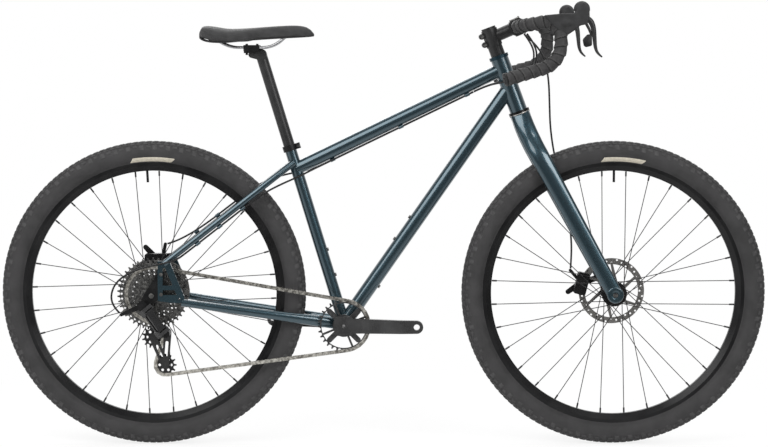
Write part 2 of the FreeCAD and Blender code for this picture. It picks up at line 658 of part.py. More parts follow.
def rotor(side, axle, line):
    """A vented brake rotor with slanted arms and its bolts."""
    thick = 2 * size("rotor_halfwidth")
    low = axle + ACROSS * (line - size("rotor_halfwidth"))
    high = low + ACROSS * thick
    inner = size("rotor_radius") - size("rotor_band")
    band = tube(low, high, size("rotor_radius"), inner)
    step = math.tau / size("rotor_hole_count")
    middle = size("rotor_radius") - size("rotor_band") / 2
    row = size("rotor_band") / 4
    holes = []
    for index in range(int(size("rotor_hole_count"))):
        spot = turned_place(low, middle + row * (index % 3 - 1), index * step)
        holes.append(rod(spot, spot + ACROSS * thick, size("rotor_hole") - row / 4))
    band = band.cut(Part.makeCompound(holes))
    carrier = rod(low, high, size("rotor_carrier_radius"))
    arms = []
    bolts = []
    arm_step = math.tau / size("rotor_arm_count")
    for index in range(int(size("rotor_arm_count"))):
        angle = index * arm_step
        root = turned_place(low, size("rotor_bolt_circle"), angle)
        tip = turned_place(low, inner + row / 2, angle + arm_step / 2)
        arms.append(link_bar(root, size("rotor_arm_width") / 2, tip, size("rotor_arm_width") / 3,
                             low.y, thick))
        bolt = turned_place(high, size("rotor_bolt_circle"), angle)
        bolts.append(rod(bolt, bolt + ACROSS * size("rotor_bolt_height"), size("rotor_hole")))
    plate = union([band, carrier] + arms)
    plate = plate.cut(rod(low, high, size("hub_barrel_radius") + fit))
    feature(side + "_rotor", Part.makeCompound([plate] + bolts))


front_rotor_line = size("front_hub_width") / 2 - size("front_rotor_inset")
rear_rotor_line = size("rear_hub_width") / 2 - size("rear_rotor_inset")
quarter_turn = math.pi / 2
rear_valve_lean = math.radians(size("rear_valve_lean"))
spoke_clock = quarter_turn + math.pi / size("spoke_count")


def wheels():
    for side, axle, valve_angle in (("front", front_axle, quarter_turn),
                                    ("rear", rear_axle, quarter_turn + rear_valve_lean)):
        tyre(side, axle)
        rim(side, axle, valve_angle)
        spokes(side, axle, size(side + "_left_flange"), size(side + "_right_flange"),
               spoke_clock + valve_angle - quarter_turn)
    front_end = "front_hub_width / 2 - clear_gap"
    rear_end = "rear_hub_width / 2 - clear_gap"
    rotor_face = "front_hub_width / 2 - front_rotor_inset - rotor_halfwidth"
    hub("front", front_axle, "front_left_flange", "front_right_flange", front_end, front_end, rotor_face)
    rotor_face = "rear_hub_width / 2 - rear_rotor_inset - rotor_halfwidth"
    hub("rear", rear_axle, "rear_left_flange", "rear_right_flange", rear_end,
        "rear_right_flange + 2 * flange_halfwidth", rotor_face)
    rotor("front", front_axle, front_rotor_line)
    rotor("rear", rear_axle, rear_rotor_line)


wheels()


def pitch_radius(teeth):
    return size("chain_pitch") / (2 * math.sin(math.pi / teeth))


def sprocket(centre, teeth, halfwidth, bore, clock):
    """A toothed disc about the Y axis, with one roller seat at the clock angle."""
    radius = pitch_radius(teeth)
    seat = size("roller_radius") + size("seat_relief")
    wrap = math.radians(size("seat_wrap"))
    step = math.tau / teeth
    tip = radius + size("tooth_height")
    side = ACROSS * -halfwidth
    edges = []
    corners = []
    for index in range(int(teeth)):
        angle = clock + index * step
        outward = Vector(math.cos(angle), 0, math.sin(angle))
        onward = Vector(-math.sin(angle), 0, math.cos(angle))
        middle = outward * radius + side
        enter = middle - outward * (seat * math.cos(wrap)) - onward * (seat * math.sin(wrap))
        leave = middle - outward * (seat * math.cos(wrap)) + onward * (seat * math.sin(wrap))
        corners.append((enter, middle - outward * seat, leave, angle))
    for index, (enter, low, leave, angle) in enumerate(corners):
        flank = angle + step * (1 / 2 - size("tooth_tip_share"))
        crest = angle + step * (1 / 2 + size("tooth_tip_share"))
        rise = Vector(tip * math.cos(flank), 0, tip * math.sin(flank)) + side
        fall = Vector(tip * math.cos(crest), 0, tip * math.sin(crest)) + side
        follower = corners[(index + 1) % len(corners)][0]
        edges.append(Part.Arc(enter, low, leave).toShape())
        edges.append(Part.makeLine(leave, rise))
        edges.append(Part.makeLine(rise, fall))
        edges.append(Part.makeLine(fall, follower))
    face = Part.Face(Part.Wire(edges))
    disc = face.extrude(ACROSS * (2 * halfwidth))
    disc = disc.cut(rod(side, -side, bore))
    disc.translate(centre)
    return disc


COG_TEETH = (11, 13, 15, 17, 19, 22, 25, 28, 32, 36, 42)
CHAIN_COG = COG_TEETH.index(32)
WINDOW_COGS = (28, 32, 36, 42)
CAGE_WINDOW_SHARES = (0.32, 0.7)


def cog_line(index):
    """How far to the right of the middle one cog runs."""
    return size("smallest_cog_line") - index * size("cog_spacing")


ring_line = -size("chain_line")
cog_chain_line = -cog_line(CHAIN_COG)
cage_pivot = rear_axle + Vector(size("cage_pivot_reach"), cog_chain_line, -size("cage_pivot_drop"))


def cage_place(reach, drop, swing):
    """A place on the cage, turned about the cage pivot."""
    start = rear_axle + Vector(size(reach), cog_chain_line, -size(drop))
    arm = Rotation(ACROSS, math.degrees(-swing)).multVec(start - cage_pivot)
    return cage_pivot + arm


def chain_wheels(swing):
    """The wheels in the chain's order, with their teeth and the way that they turn."""
    cog_centre = rear_axle + ACROSS * cog_chain_line
    return [
        (crank_centre + ACROSS * ring_line, size("ring_teeth"), -1),
        (cage_place("lower_jockey_reach", "lower_jockey_drop", swing), size("jockey_teeth"), -1),
        (cage_place("upper_jockey_reach", "upper_jockey_drop", swing), size("jockey_teeth"), 1),
        (cog_centre, COG_TEETH[CHAIN_COG], -1),
    ]


def chain_path(swing):
    """Arcs and straights of the chain's pitch line, each with its length in chain."""
    wheels_in_order = chain_wheels(swing)
    count = len(wheels_in_order)
    normals = []
    for index, (centre, teeth, sense) in enumerate(wheels_in_order):
        other, other_teeth, other_sense = wheels_in_order[(index + 1) % count]
        span = other - centre
        reach = math.hypot(span.x, span.z)
        lean = (other_sense * pitch_radius(other_teeth) - sense * pitch_radius(teeth)) / reach
        normals.append(math.atan2(span.z, span.x) + math.acos(lean))
    pieces = []
    for index, (centre, teeth, sense) in enumerate(wheels_in_order):
        turn = math.pi if sense > 0 else 0
        arrive = normals[index - 1] + turn
        leave = normals[index] + turn
        sweep = ((leave - arrive) * sense) % math.tau
        length = sweep * teeth * size("chain_pitch") / math.tau
        pieces.append(("arc", centre, pitch_radius(teeth), arrive, sweep * sense, length))
        other, other_teeth, other_sense = wheels_in_order[(index + 1) % count]
        start = turned_place(centre, pitch_radius(teeth), leave)
        other_turn = math.pi if other_sense > 0 else 0
        end = turned_place(other, pitch_radius(other_teeth), normals[index] + other_turn)
        pieces.append(("run", start, end, (end - start).Length))
    return pieces


def path_length(swing):
    return sum(piece[-1] for piece in chain_path(swing))


def solve_swing(target):
    """The cage angle at which the chain has a whole number of links."""
    low = math.radians(-size("cage_search_angle"))
    high = math.radians(size("cage_search_angle"))
    rising = path_length(high) > path_length(low)
    for _ in range(60):
        middle = (low + high) / 2
        if (path_length(middle) < target) == rising:
            low = middle
        else:
            high = middle
    return (low + high) / 2


pair_length = 2 * size("chain_pitch")
link_count = 2 * round(path_length(0) / pair_length)
cage_swing = solve_swing(link_count * size("chain_pitch"))
CHAIN_PIECES = chain_path(cage_swing)
print("chain links", link_count, "cage turned", round(math.degrees(cage_swing), 2))


def chain_place(length):
    """The point of the pitch line at a length along the chain, and the wheel it lies on."""
    for number, piece in enumerate(CHAIN_PIECES):
        if length <= piece[-1]:
            break
        length -= piece[-1]
    share = min(length / piece[-1], 1)
    if piece[0] == "run":
        spot = between(piece[1], piece[2], share)
        settle = size("chain_settle_share")
        drift = min(max((share - settle) / (1 - 2 * settle), 0), 1)
        spot.y = piece[1].y + (piece[2].y - piece[1].y) * drift
        return spot, None
    centre, radius, arrive, sweep = piece[1:5]
    return turned_place(centre, radius, arrive + sweep * share), number // 2


PINS = [chain_place(index * size("chain_pitch")) for index in range(link_count)]


def wheel_clock(wheel):
    """The angle of one pin that lies on a wheel of the chain."""
    centre = chain_wheels(cage_swing)[wheel][0]
    spot = [pin for pin, on_wheel in PINS if on_wheel == wheel][1]
    return math.atan2(spot.z - centre.z, spot.x - centre.x)


def chain():
    """Inner and outer links in turn, each a solid of plates with rollers or pins."""
    inner = size("inner_link_halfwidth")
    plate = size("link_plate")
    outer = inner + plate + size("link_gap")
    pitch = Vector(size("chain_pitch"), 0, 0)
    origin = Vector(0, 0, 0)
    radius = size("link_plate_radius")
    pin = size("pin_radius")

    def both(start, extra, extra_radius):
        pieces = []
        for low in (start, -start - plate):
            pieces.append(link_bar(origin, radius, pitch, radius, low, plate))
        for end in (origin, pitch):
            pieces.append(rod(end - ACROSS * extra, end + ACROSS * extra, extra_radius))
        return union(pieces)

    inner_link = both(inner, inner, size("roller_radius"))
    side = ACROSS * (inner + plate)
    for end in (origin, pitch):
        inner_link = inner_link.cut(rod(end - side, end + side, pin + size("pin_gap")))
    outer_link = both(outer, outer + plate + size("link_gap"), pin)
    links = []
    for index in range(link_count):
        start = PINS[index][0]
        end = PINS[(index + 1) % link_count][0]
        heading = end - start
        link = (inner_link if index % 2 == 0 else outer_link).copy()
        link.Placement = Placement(start, Rotation(heading, ACROSS, UP, "XYZ"))
        links.append(link)
    feature("chain", Part.makeCompound(links))


def round_holes(centre, halfwidth, ring, radius, count):
    """A ring of equal rods through a disc about the Y axis."""
    side = ACROSS * (2 * halfwidth)
    spots = [turned_place(centre, ring, math.tau * index / count) for index in range(count)]
    return [rod(spot - side, spot + side, radius) for spot in spots]


def cog_windows(centre, teeth):
    """The holes of one cog: its own ring, and the rings of the smaller cogs beside it."""
    holes = []
    for smaller in WINDOW_COGS:
        if smaller > teeth:
            continue
        ring = pitch_radius(smaller) - size("cog_window_drop")
        count = int(math.tau * ring / size("cog_window_pitch"))
        holes += round_holes(centre, size("cog_halfwidth"), ring, size("cog_window_radius"), count)
    return holes


def cassette():
    """The freehub body, the cogs on it and the lock ring."""
    inner = -(size("rear_right_flange") + 2 * size("flange_halfwidth") + gap)
    outer = -(size("rear_hub_width") / 2 - gap)
    lock = -(size("smallest_cog_line") + size("cog_halfwidth"))
    start = rear_axle + ACROSS * inner
    body = union([
        rod(start, rear_axle + ACROSS * lock, size("freehub_radius")),
        rod(start, rear_axle + ACROSS * outer, size("hub_end_radius")),
    ])
    body = body.cut(rod(start, rear_axle + ACROSS * outer, size("axle_radius") + fit))
    solids = [body]
    for index, teeth in enumerate(COG_TEETH):
        clock = wheel_clock(3) if index == CHAIN_COG else 0
        centre = rear_axle - ACROSS * cog_line(index)
        cog = sprocket(centre, teeth, size("cog_halfwidth"), size("freehub_radius") + fit, clock)
        holes = cog_windows(centre, teeth)
        solids.append(cog.cut(holes) if holes else cog)
    feature("cassette", Part.makeCompound(solids))


def ring_arms(centre, width, turns, root, tip, thick):
    """Straight arms of the chainring."""
    arms = []
    for turn in turns:
        first = turned_place(centre, root, turn)
        second = turned_place(centre, tip - width / 2, turn)
        arms.append(link_bar(first, width / 2, second, width / 2, centre.y - thick, thick))
    return arms


def chainring():
    """One toothed ring with four broad and four thin arms on a round hub."""
    centre = crank_centre + ACROSS * ring_line
    ring = sprocket(centre, size("ring_teeth"), size("cog_halfwidth"), size("ring_inner_radius"),
                    wheel_clock(0))
    thick = size("ring_arm_thickness")
    face = centre + ACROSS * size("cog_halfwidth")
    root = size("spider_hub_radius") - size("thin_spoke_width")
    tip = size("ring_inner_radius") + size("ring_arm_overlap")
    eighth = math.tau / 8
    broad = [eighth * (2 * index + 1) for index in range(4)]
    thin = [eighth * 2 * index + eighth / 2 for index in range(4)]
    arms = ring_arms(face, size("spider_width"), broad, root, tip, thick)
    arms += ring_arms(face, size("thin_spoke_width"), thin, root, tip, thick)
    disc = rod(face - ACROSS * thick, face, size("spider_hub_radius"))
    whole = union([ring, disc] + arms)
    bore = size("spindle_radius") + fit
    feature("chainring", whole.cut(rod(face - ACROSS * thick, face, bore)))


crank_face = size("chain_line") - size("cog_halfwidth") + size("ring_arm_thickness")
crank_clear_face = crank_face + size("crank_gap")


def crank_arm():
    """An arm that points to +X from the origin, leaning outwards along +Y."""
    length = size("crank_length")
    depth = crank_clear_face + 3 * size("crank_thickness")
    half = size("crank_hub_height") / 2
    end = size("crank_end_radius")
    hub_block = Part.makeBox(2 * half, depth, 2 * half, Vector(-half, 0, -half))
    upright = [edge for edge in hub_block.Edges if abs(edge.tangentAt(0).y) > 1 / 2]
    hub_block = hub_block.makeFillet(size("crank_corner"), upright)
    bar = link_bar(Vector(0, 0, 0), size("crank_mid_height") / 2, Vector(length, 0, 0), end, 0, depth)
    outline = union([hub_block, bar])
    inner = crank_clear_face
    lean = size("crank_flare")
    outer = inner + size("crank_thickness")
    start_share, finish_share = 0.25, 0.8
    profile = [(-half, inner), (length * start_share, inner), (length * finish_share, inner + lean),
               (length + end, inner + lean), (length + end, inner + lean + size("crank_end_thickness")),
               (length * finish_share, inner + lean + size("crank_end_thickness")),
               (length * start_share, outer), (-half, outer)]
    corners = [Vector(x, y, -half) for x, y in profile]
    slab = Part.Face(Part.makePolygon(corners + corners[:1])).extrude(UP * (2 * half))
    arm = outline.common(slab)
    side = ACROSS * depth
    eye = Vector(length, 0, 0)
    return arm.cut(rod(eye, eye + side, size("pedal_thread_radius")))


def cranks():
    """Two arms half a turn apart, with the spindle fixed in the right one."""
    spindle_end = crank_clear_face + size("crank_thickness") / 2
    spindle_low = -ACROSS * crank_clear_face
    spindle_high = ACROSS * (spindle_end + size("crank_thickness") / 4)
    arm = crank_arm()
    boss = rod(ACROSS * crank_face, ACROSS * crank_clear_face, size("spider_hub_radius"))
    right = mirrored(union([arm, boss]))
    spindle = rod(spindle_low, spindle_high, size("spindle_radius"))
    right = union([right, spindle])
    right = right.cut(rod(spindle_low, spindle_high, size("spindle_bore")))
    side = ACROSS * (2 * crank_clear_face)
    right = right.cut(rod(-side, side, size("spindle_cap_radius")))
    right.translate(crank_centre)
    feature("right_crank_arm", right)
    cup_end = size("shell_width") / 2 + size("shell_cup_width") + gap
    collar = rod(ACROSS * cup_end, ACROSS * crank_clear_face, size("shell_cup_radius"))
    left = union([arm, collar])
    left = left.cut(rod(-side, spindle_high, size("spindle_radius") + fit))
    left = left.cut(rod(-side, side, size("spindle_cap_radius")))
    left.rotate(Vector(0, 0, 0), ACROSS, 180)
    left.translate(crank_centre)
    feature("left_crank_arm", left)


chain()
cassette()
chainring()
cranks()


def derailleur_frame():
    """The parallelogram's axes: along the links, along their pins and across them."""
    fall = math.radians(size("link_plane_angle"))
    along = Vector(math.cos(fall), 0, -math.sin(fall))
    tilt = math.radians(size("link_tilt_angle"))
    square = Vector(-math.sin(fall), 0, -math.cos(fall))
    across = ACROSS * math.cos(tilt) + square * math.sin(tilt)
    return along, across.cross(along), across


link_along, link_pins, link_across = derailleur_frame()
knuckle_start = -(dropout_face + gap)
knuckle_centre = hanger + ACROSS * (knuckle_start - size("knuckle_length") / 2)
link_root = knuckle_centre + Vector(size("link_root_reach"), -size("link_root_offset"),
                                    -size("link_root_drop"))
LINK_PLACE = Placement(link_root, Rotation(link_along, link_pins, link_across, "XYZ"))
rest = math.radians(size("link_rest_angle"))
link_end = Vector(size("link_reach") * math.cos(rest), 0, size("link_reach") * math.sin(rest))


def link_pivots(base):
    """The outer and inner pivots of one end of the parallelogram."""
    half = Vector(0, 0, size("link_spacing") / 2)
    return base - half, base + half


def derailleur_links():
    origin = Vector(0, 0, 0)
    starts = link_pivots(origin)
    ends = link_pivots(link_end)
    half = size("link_width") / 2
    side = ACROSS * half
    radius = size("link_barrel_radius")
    for label, start, end in zip(("derailleur_outer_link", "derailleur_inner_link"), starts, ends):
        bar = link_bar(start, radius, end, radius, -half, 2 * half)
        for spot in (start, end):
            bar = bar.cut(rod(spot - side, spot + side, size("link_pin_radius") + fit))
        feature(label, bar.transformed(LINK_PLACE.toMatrix()))


def ears(base, block_side):
    """Two ears with the link pins between them, and the block that joins them."""
    low, high = link_pivots(base)
    inner = size("link_width") / 2 + gap
    outer = inner + size("ear_thickness")
    radius = size("ear_radius")
    reach = Vector(block_side * size("ear_reach"), 0, 0)
    pieces = []
    for start in (inner, -outer):
        for spot in (low, high):
            pieces.append(link_bar(spot, radius, spot + reach, radius, start, size("ear_thickness")))
        pieces.append(link_bar(low, radius, high, radius, start, size("ear_thickness")))
    for spot in (low, high):
        pieces.append(rod(spot - ACROSS * outer, spot + ACROSS * outer, size("link_pin_radius")))
    near = size("link_barrel_radius") + size("wide_gap")
    deep = size("ear_reach") + radius - near
    tall = size("link_spacing") + 2 * radius
    corner_x = near if block_side > 0 else -near - deep
    corner = base + Vector(corner_x, -outer, -tall / 2)
    pieces.append(Part.makeBox(deep, 2 * outer, tall, corner))
    return union(pieces).transformed(LINK_PLACE.toMatrix())


def derailleur_knuckle():
    """The knuckle bolted to the hanger, with the arm that stops the cable."""
    start = hanger + ACROSS * knuckle_start
    end = start - ACROSS * size("knuckle_length")
    boss = rod(start, end, size("knuckle_radius"))
    stop = cable_stop_place()
    thick = size("cable_arm_thickness")
    arm = link_bar(knuckle_centre, size("cable_arm_radius"), stop, size("cable_stop_radius"),
                   knuckle_centre.y - thick / 2, thick)
    feature("derailleur_knuckle", union([boss, arm, ears(Vector(0, 0, 0), -1)]))


def cable_stop_place():
    return knuckle_centre + Vector(-size("cable_arm_reach"), 0, -size("cable_arm_drop"))


JOCKEYS = {
    "upper_jockey_wheel": (cage_place("upper_jockey_reach", "upper_jockey_drop", cage_swing), 2),
    "lower_jockey_wheel": (cage_place("lower_jockey_reach", "lower_jockey_drop", cage_swing), 1),
}


def cage_knuckle():
    """The knuckle at the foot of the links, bored for the cage's pivot."""
    inner = cage_pivot - ACROSS * (size("cage_halfwidth") + size("cage_plate") + size("cage_boss_length"))
    outer = Vector(inner.x, link_root.y + size("cage_knuckle_overlap"), inner.z)
    boss = rod(inner - ACROSS * gap, outer, size("cage_pivot_radius"))
    body = union([boss, ears(link_end, 1)])
    bore = rod(inner, inner - ACROSS * (size("cage_pin_length") + 2 * gap), size("cage_pivot_pin") + fit)
    feature("cage_knuckle", body.cut(bore))


def cage():
    """Two plates joined by the jockey pins, with the pivot on the outer plate."""
    half = size("cage_halfwidth")
    plate = size("cage_plate")
    radius = size("cage_plate_radius")
    upper = JOCKEYS["upper_jockey_wheel"][0]
    lower = JOCKEYS["lower_jockey_wheel"][0]
    middle = cog_chain_line
    pieces = [
        link_bar(upper, radius, lower, radius, middle + half, plate),
        link_bar(upper, radius, lower, radius, middle - half - plate, plate),
        link_bar(upper, radius, cage_pivot, size("cage_pivot_radius"), middle - half - plate, plate),
        link_bar(cage_pivot, size("cage_pivot_radius"), lower, radius, middle - half - plate, plate),
    ]
    side = ACROSS * (half + plate)
    windows = []
    for first in (upper, cage_pivot):
        spots = [first + (lower - first) * share for share in CAGE_WINDOW_SHARES]
        width = size("cage_window_radius")
        depth = 2 * (half + 2 * plate)
        windows.append(link_bar(spots[0], width, spots[1], width, middle - depth / 2, depth))
    pieces = [union(pieces).cut(windows)]
    for spot in (upper, lower):
        pieces.append(rod(spot - side, spot + side, size("jockey_pin_radius")))
    face = cage_pivot - side
    boss_end = face - ACROSS * size("cage_boss_length")
    pieces.append(rod(face, boss_end, size("cage_pivot_radius")))
    pieces.append(rod(boss_end, boss_end - ACROSS * size("cage_pin_length"), size("cage_pivot_pin")))
    feature("derailleur_cage", union(pieces))


def jockey_wheels():
    half = ACROSS * (size("cage_halfwidth") - gap)
    for label, (centre, wheel) in JOCKEYS.items():
        bore = size("jockey_pin_radius") + fit
        disc = sprocket(centre, size("jockey_teeth"), size("cog_halfwidth"), bore, wheel_clock(wheel))
        holes = round_holes(centre, size("cog_halfwidth"), size("jockey_hole_ring"),
                            size("jockey_hole_radius"), int(size("jockey_holes")))
        disc = disc.cut(holes)
        barrel = tube(centre - half, centre + half, size("jockey_hub_radius"), bore)
        feature(label, union([disc, barrel]))


derailleur_links()
derailleur_knuckle()
cage_knuckle()
cage()
jockey_wheels()


def rounded_wire(centre, first, second, half_first, half_second, corner):
    """A closed rounded rectangle about a centre, spanned by two unit directions."""
    edges = []
    last = None
    bow = corner * (1 - math.sqrt(1 / 2))
    for sign_first, sign_second, turn in ((1, 1, 0), (-1, 1, 1), (-1, -1, 0), (1, -1, 1)):
        outer = centre + first * (sign_first * half_first) + second * (sign_second * half_second)
        along_second = outer - second * (sign_second * corner)
        along_first = outer - first * (sign_first * corner)
        apex = outer - first * (sign_first * bow) - second * (sign_second * bow)
        ends = (along_second, along_first) if turn == 0 else (along_first, along_second)
        if last:
            edges.append(Part.makeLine(last, ends[0]))
        else:
            opening = ends[0]
        edges.append(Part.Arc(ends[0], apex, ends[1]).toShape())
        last = ends[1]
    edges.append(Part.makeLine(last, opening))
    return Part.Wire(edges)


def steer_place(rise, forward=0, offset=0):
    """A place by its rise along the steering axis from the foot of the head tube."""
    return head_low + steer_axis * rise + steer_front * forward + ACROSS * offset


spacer_foot = size("head_tube_length") + gap
stem_foot = spacer_foot + 2 * size("spacer_height")
stem_top = stem_foot + size("stem_clamp_height")
stem_lean = math.radians(size("stem_rise_angle"))
stem_heading = Vector(math.cos(stem_lean), 0, math.sin(stem_lean))
stem_normal = Vector(-math.sin(stem_lean), 0, math.cos(stem_lean))
stem_centre = steer_place((stem_foot + stem_top) / 2)
bar_centre = stem_centre + stem_heading * size("stem_length")


def fork():
    """A one-piece crown with its steerer, and two straight tapered legs."""
    half_depth = size("crown_depth") / 2
    foot = -size("crown_height")
    shoulder_share = 0.5
    top = size("crown_top_radius")
    wide = size("crown_halfwidth")
    sections = [
        rounded_wire(steer_place(-gap), steer_front, ACROSS, top, top, size("crown_corner") * 3 / 2),
        rounded_wire(steer_place(foot * shoulder_share), steer_front, ACROSS, half_depth,
                     (top + wide * 2) / 3, size("crown_corner")),
        rounded_wire(steer_place(foot), steer_front, ACROSS, half_depth, wide, size("leg_corner")),
    ]
    crown = Part.makeLoft(sections, True, False)
    arch = size("arch_halfwidth")
    axis = foot + size("arch_height") - arch
    crown = crown.cut(rod(steer_place(axis, -2 * half_depth), steer_place(axis, 2 * half_depth), arch))
    steerer = rod(steer_place(-size("crown_height") / 4), steer_place(stem_top - size("steerer_short")),
                  size("steerer_radius"))
    crown = union([crown, steerer])
    bore = size("steerer_radius") - size("steerer_wall")
    feature("fork_crown", crown.cut(rod(steer_place(0), steer_place(stem_top), bore)))

    start = steer_place(foot)
    heading = front_axle - start
    heading.normalize()
    fore = Vector(-heading.z, 0, heading.x)
    end_width = size("leg_end_width")
    end_offset = size("front_hub_width") / 2 + size("wide_gap") + end_width / 2
    start_offset = wide - size("leg_top_width") / 2
    middle = between(start, front_axle, 1 / 2)
    corner = size("leg_corner")
    sections = [
        rounded_wire(start + ACROSS * start_offset, steer_front, ACROSS, half_depth,
                     size("leg_top_width") / 2, corner),
        rounded_wire(middle + ACROSS * ((start_offset + end_offset) / 2), fore, ACROSS,
                     size("leg_mid_depth") / 2, (size("leg_top_width") + end_width) / 4, corner),
        rounded_wire(front_axle + ACROSS * end_offset, fore, ACROSS, size("leg_end_depth") / 2,
                     end_width / 2, corner),
    ]
    leg = Part.makeLoft(sections, True, False)
    inner = front_axle + ACROSS * (size("front_hub_width") / 2)
    outer = inner + ACROSS * (end_width + 2 * size("wide_gap"))
    leg = union([leg, rod(inner, outer, size("fork_eye_radius"))])
    below = front_axle - ACROSS * overrun
    leg = leg.cut(rod(below, outer + ACROSS * overrun, size("axle_radius") + fit))
    feature("fork_legs", Part.makeCompound([leg, mirrored(leg)]))
    return leg


def front_axle_bar():
    """The front thru axle, with its head on the left leg."""
    eye = size("leg_end_width") + 2 * size("wide_gap")
    outer = front_axle + ACROSS * (size("front_hub_width") / 2 + eye)
    inner = front_axle * 2 - outer
    head = outer + ACROSS * size("axle_head_length")
    bar = rod(inner, outer, size("axle_radius"))
    feature("front_axle", union([bar, rod(outer, head, size("axle_head_radius"))]))


def headset_spacers():
    """Two spacers under the stem and the cap above it."""
    bore = size("steerer_radius") + fit
    radius = size("spacer_radius")
    solids = []
    for index in range(2):
        low = spacer_foot + index * size("spacer_height")
        solids.append(tube(steer_place(low), steer_place(low + size("spacer_height")), radius, bore))
    solids.append(rod(steer_place(stem_top), steer_place(stem_top + size("top_cap_height")), radius))
    feature("headset_spacers", Part.makeCompound(solids))


def ahead_of(distance):
    """A block ahead of a plane across the stem, at a distance from the bar's axis."""
    big = size("stem_length") * 3
    corner = bar_centre + stem_heading * distance - ACROSS * (big / 2) - stem_normal * (big / 2)
    block = Part.makeBox(big, big, big)
    block.Placement = Placement(corner, Rotation(stem_heading, ACROSS, stem_normal, "XYZ"))
    return block


def stem_bolt_list():
    """Each stem bolt's seat, heading and length: four in the faceplate, two in the rear."""
    half = size("bar_clamp_halfwidth")
    row = (size("bar_center_radius") + size("bar_clamp_radius")) / 2
    front = math.sqrt(size("bar_clamp_radius") ** 2 - row ** 2)
    bolts = []
    for side in (1, -1):
        for level in (1, -1):
            seat = bar_centre + ACROSS * (side * half * 2 / 3) + stem_normal * (level * row)
            bolts.append((seat + stem_heading * front, -stem_heading, 2 * front))
    reach = size("stem_clamp_radius") + size("stem_bolt_radius")
    for level in (1, -1):
        middle = stem_centre - steer_front * reach + steer_axis * (level * size("stem_clamp_height") / 4)
        bolts.append((middle - ACROSS * size("stem_bolt_length"), ACROSS, 2 * size("stem_bolt_length")))
    return bolts


def bolt(seat, heading, length, extra):
    """A bolt with its head behind the seat, made larger by an extra for its hole."""
    shank = rod(seat, seat + heading * length, size("stem_bolt_radius") + extra)
    head = rod(seat - heading * size("stem_bolt_radius"), seat, size("stem_bolt_head") + extra)
    return union([shank, head])


def stem():
    """The stem body with its split rear clamp, and the faceplate."""
    clamp = rod(steer_place(stem_foot), steer_place(stem_top), size("stem_clamp_radius"))
    neck = rod(stem_centre, bar_centre, size("stem_tube_radius"))
    half = ACROSS * size("bar_clamp_halfwidth")
    grip = rod(bar_centre - half, bar_centre + half, size("bar_clamp_radius"))
    reach = size("stem_clamp_radius") + size("stem_bolt_radius")
    lug = size("stem_bolt_head") + size("stem_bolt_radius")
    pieces = [clamp, neck, grip]
    lug_half = ACROSS * size("stem_bolt_length")
    for level in (1, -1):
        middle = stem_centre - steer_front * reach + steer_axis * (level * size("stem_clamp_height") / 4)
        pieces.append(rod(middle - lug_half, middle + lug_half, lug))
    whole = union(pieces)
    whole = whole.common(rod(steer_place(stem_foot, -reach), steer_place(stem_top, -reach),
                             size("stem_length") * 2))
    whole = whole.cut(rod(steer_place(stem_foot), steer_place(stem_top), size("steerer_radius") + fit))
    whole = whole.cut(rod(bar_centre - half, bar_centre + half, size("bar_center_radius") + fit))
    slot = Part.makeBox(2 * reach, size("faceplate_gap"), size("stem_clamp_height"))
    corner = steer_place(stem_foot, -2 * reach, -size("faceplate_gap") / 2)
    slot.Placement = Placement(corner, Rotation(steer_front, ACROSS, steer_axis, "XYZ"))
    whole = whole.cut(slot)
    for seat, heading, length in stem_bolt_list():
        whole = whole.cut(bolt(seat, heading, length, fit))
    split = size("faceplate_gap") / 2
    body = whole.cut(ahead_of(-split))
    plate = whole.common(ahead_of(split))
    pieces = [max(piece.Solids, key=lambda solid: solid.Volume) for piece in (body, plate)]
    feature("stem", Part.makeCompound(pieces))
    bolts = [bolt(seat, heading, length, 0) for seat, heading, length in stem_bolt_list()]
    feature("stem_bolts", Part.makeCompound(bolts))


def bar_route(first):
    """The left half of the bar's axis, from an offset on its straight top."""
    ramp = size("bar_ramp_reach")
    return [
        bar_centre + Vector(0, first, 0),
        bar_centre + Vector(0, size("bar_bend_offset"), 0),
        bar_centre + Vector(ramp, size("bar_ramp_offset"), size("bar_ramp_rise")),
        bar_centre + Vector(ramp, size("bar_drop_offset"), -size("bar_drop")),
        bar_centre + Vector(-size("bar_end_reach"), size("bar_end_offset"), -size("bar_end_drop")),
    ]


def handlebar():
    centre_half = size("bar_center_halfwidth")
    taper_end = centre_half + size("bar_taper_length")
    pieces = [rod(bar_centre - ACROSS * centre_half, bar_centre + ACROSS * centre_half,
                  size("bar_center_radius"))]
    for sign in (1, -1):
        start = bar_centre + ACROSS * (sign * centre_half)
        cone = Part.makeCone(size("bar_center_radius"), size("bar_radius"), size("bar_taper_length"),
                             start, ACROSS * sign)
        pieces.append(cone)
    arm = cord(bar_route(taper_end), size("bar_radius"))
    bore = cord(bar_route(taper_end), size("bar_radius") - size("bar_wall"))
    pieces += [arm, mirrored(arm)]
    bores = [bore, mirrored(bore), rod(bar_centre - ACROSS * taper_end, bar_centre + ACROSS * taper_end,
                                       size("bar_radius") - size("bar_wall"))]
    bar = union(pieces)
    for hollow in bores:
        bar = bar.cut(hollow)
    feature("handlebar", bar)


def bar_tape():
    """Padded tape over each half of the bar, and the plugs in its ends."""
    route = bar_route(size("tape_start"))
    outside = cord(route, size("tape_radius"))
    sleeve = outside.cut(cord(route, size("bar_radius") + fit))
    heading = route[-1] - route[-2]
    heading.normalize()
    plug = rod(route[-1], route[-1] + heading * size("plug_length"), size("tape_radius"))
    solids = [sleeve, mirrored(sleeve), plug, mirrored(plug)]
    feature("bar_tape", Part.makeCompound(solids))
    return cord(route, size("tape_radius") + size("hood_clearance"))


HOOD_SHARES = [(0, 0.62), (0.42, 0.71), (0.7, 0.93), (0.86, 1), (1, 0.8), (0.96, 0.52), (0.9, 0.28),
               (0.66, 0), (0.5, 0.05), (0.3, 0.22)]


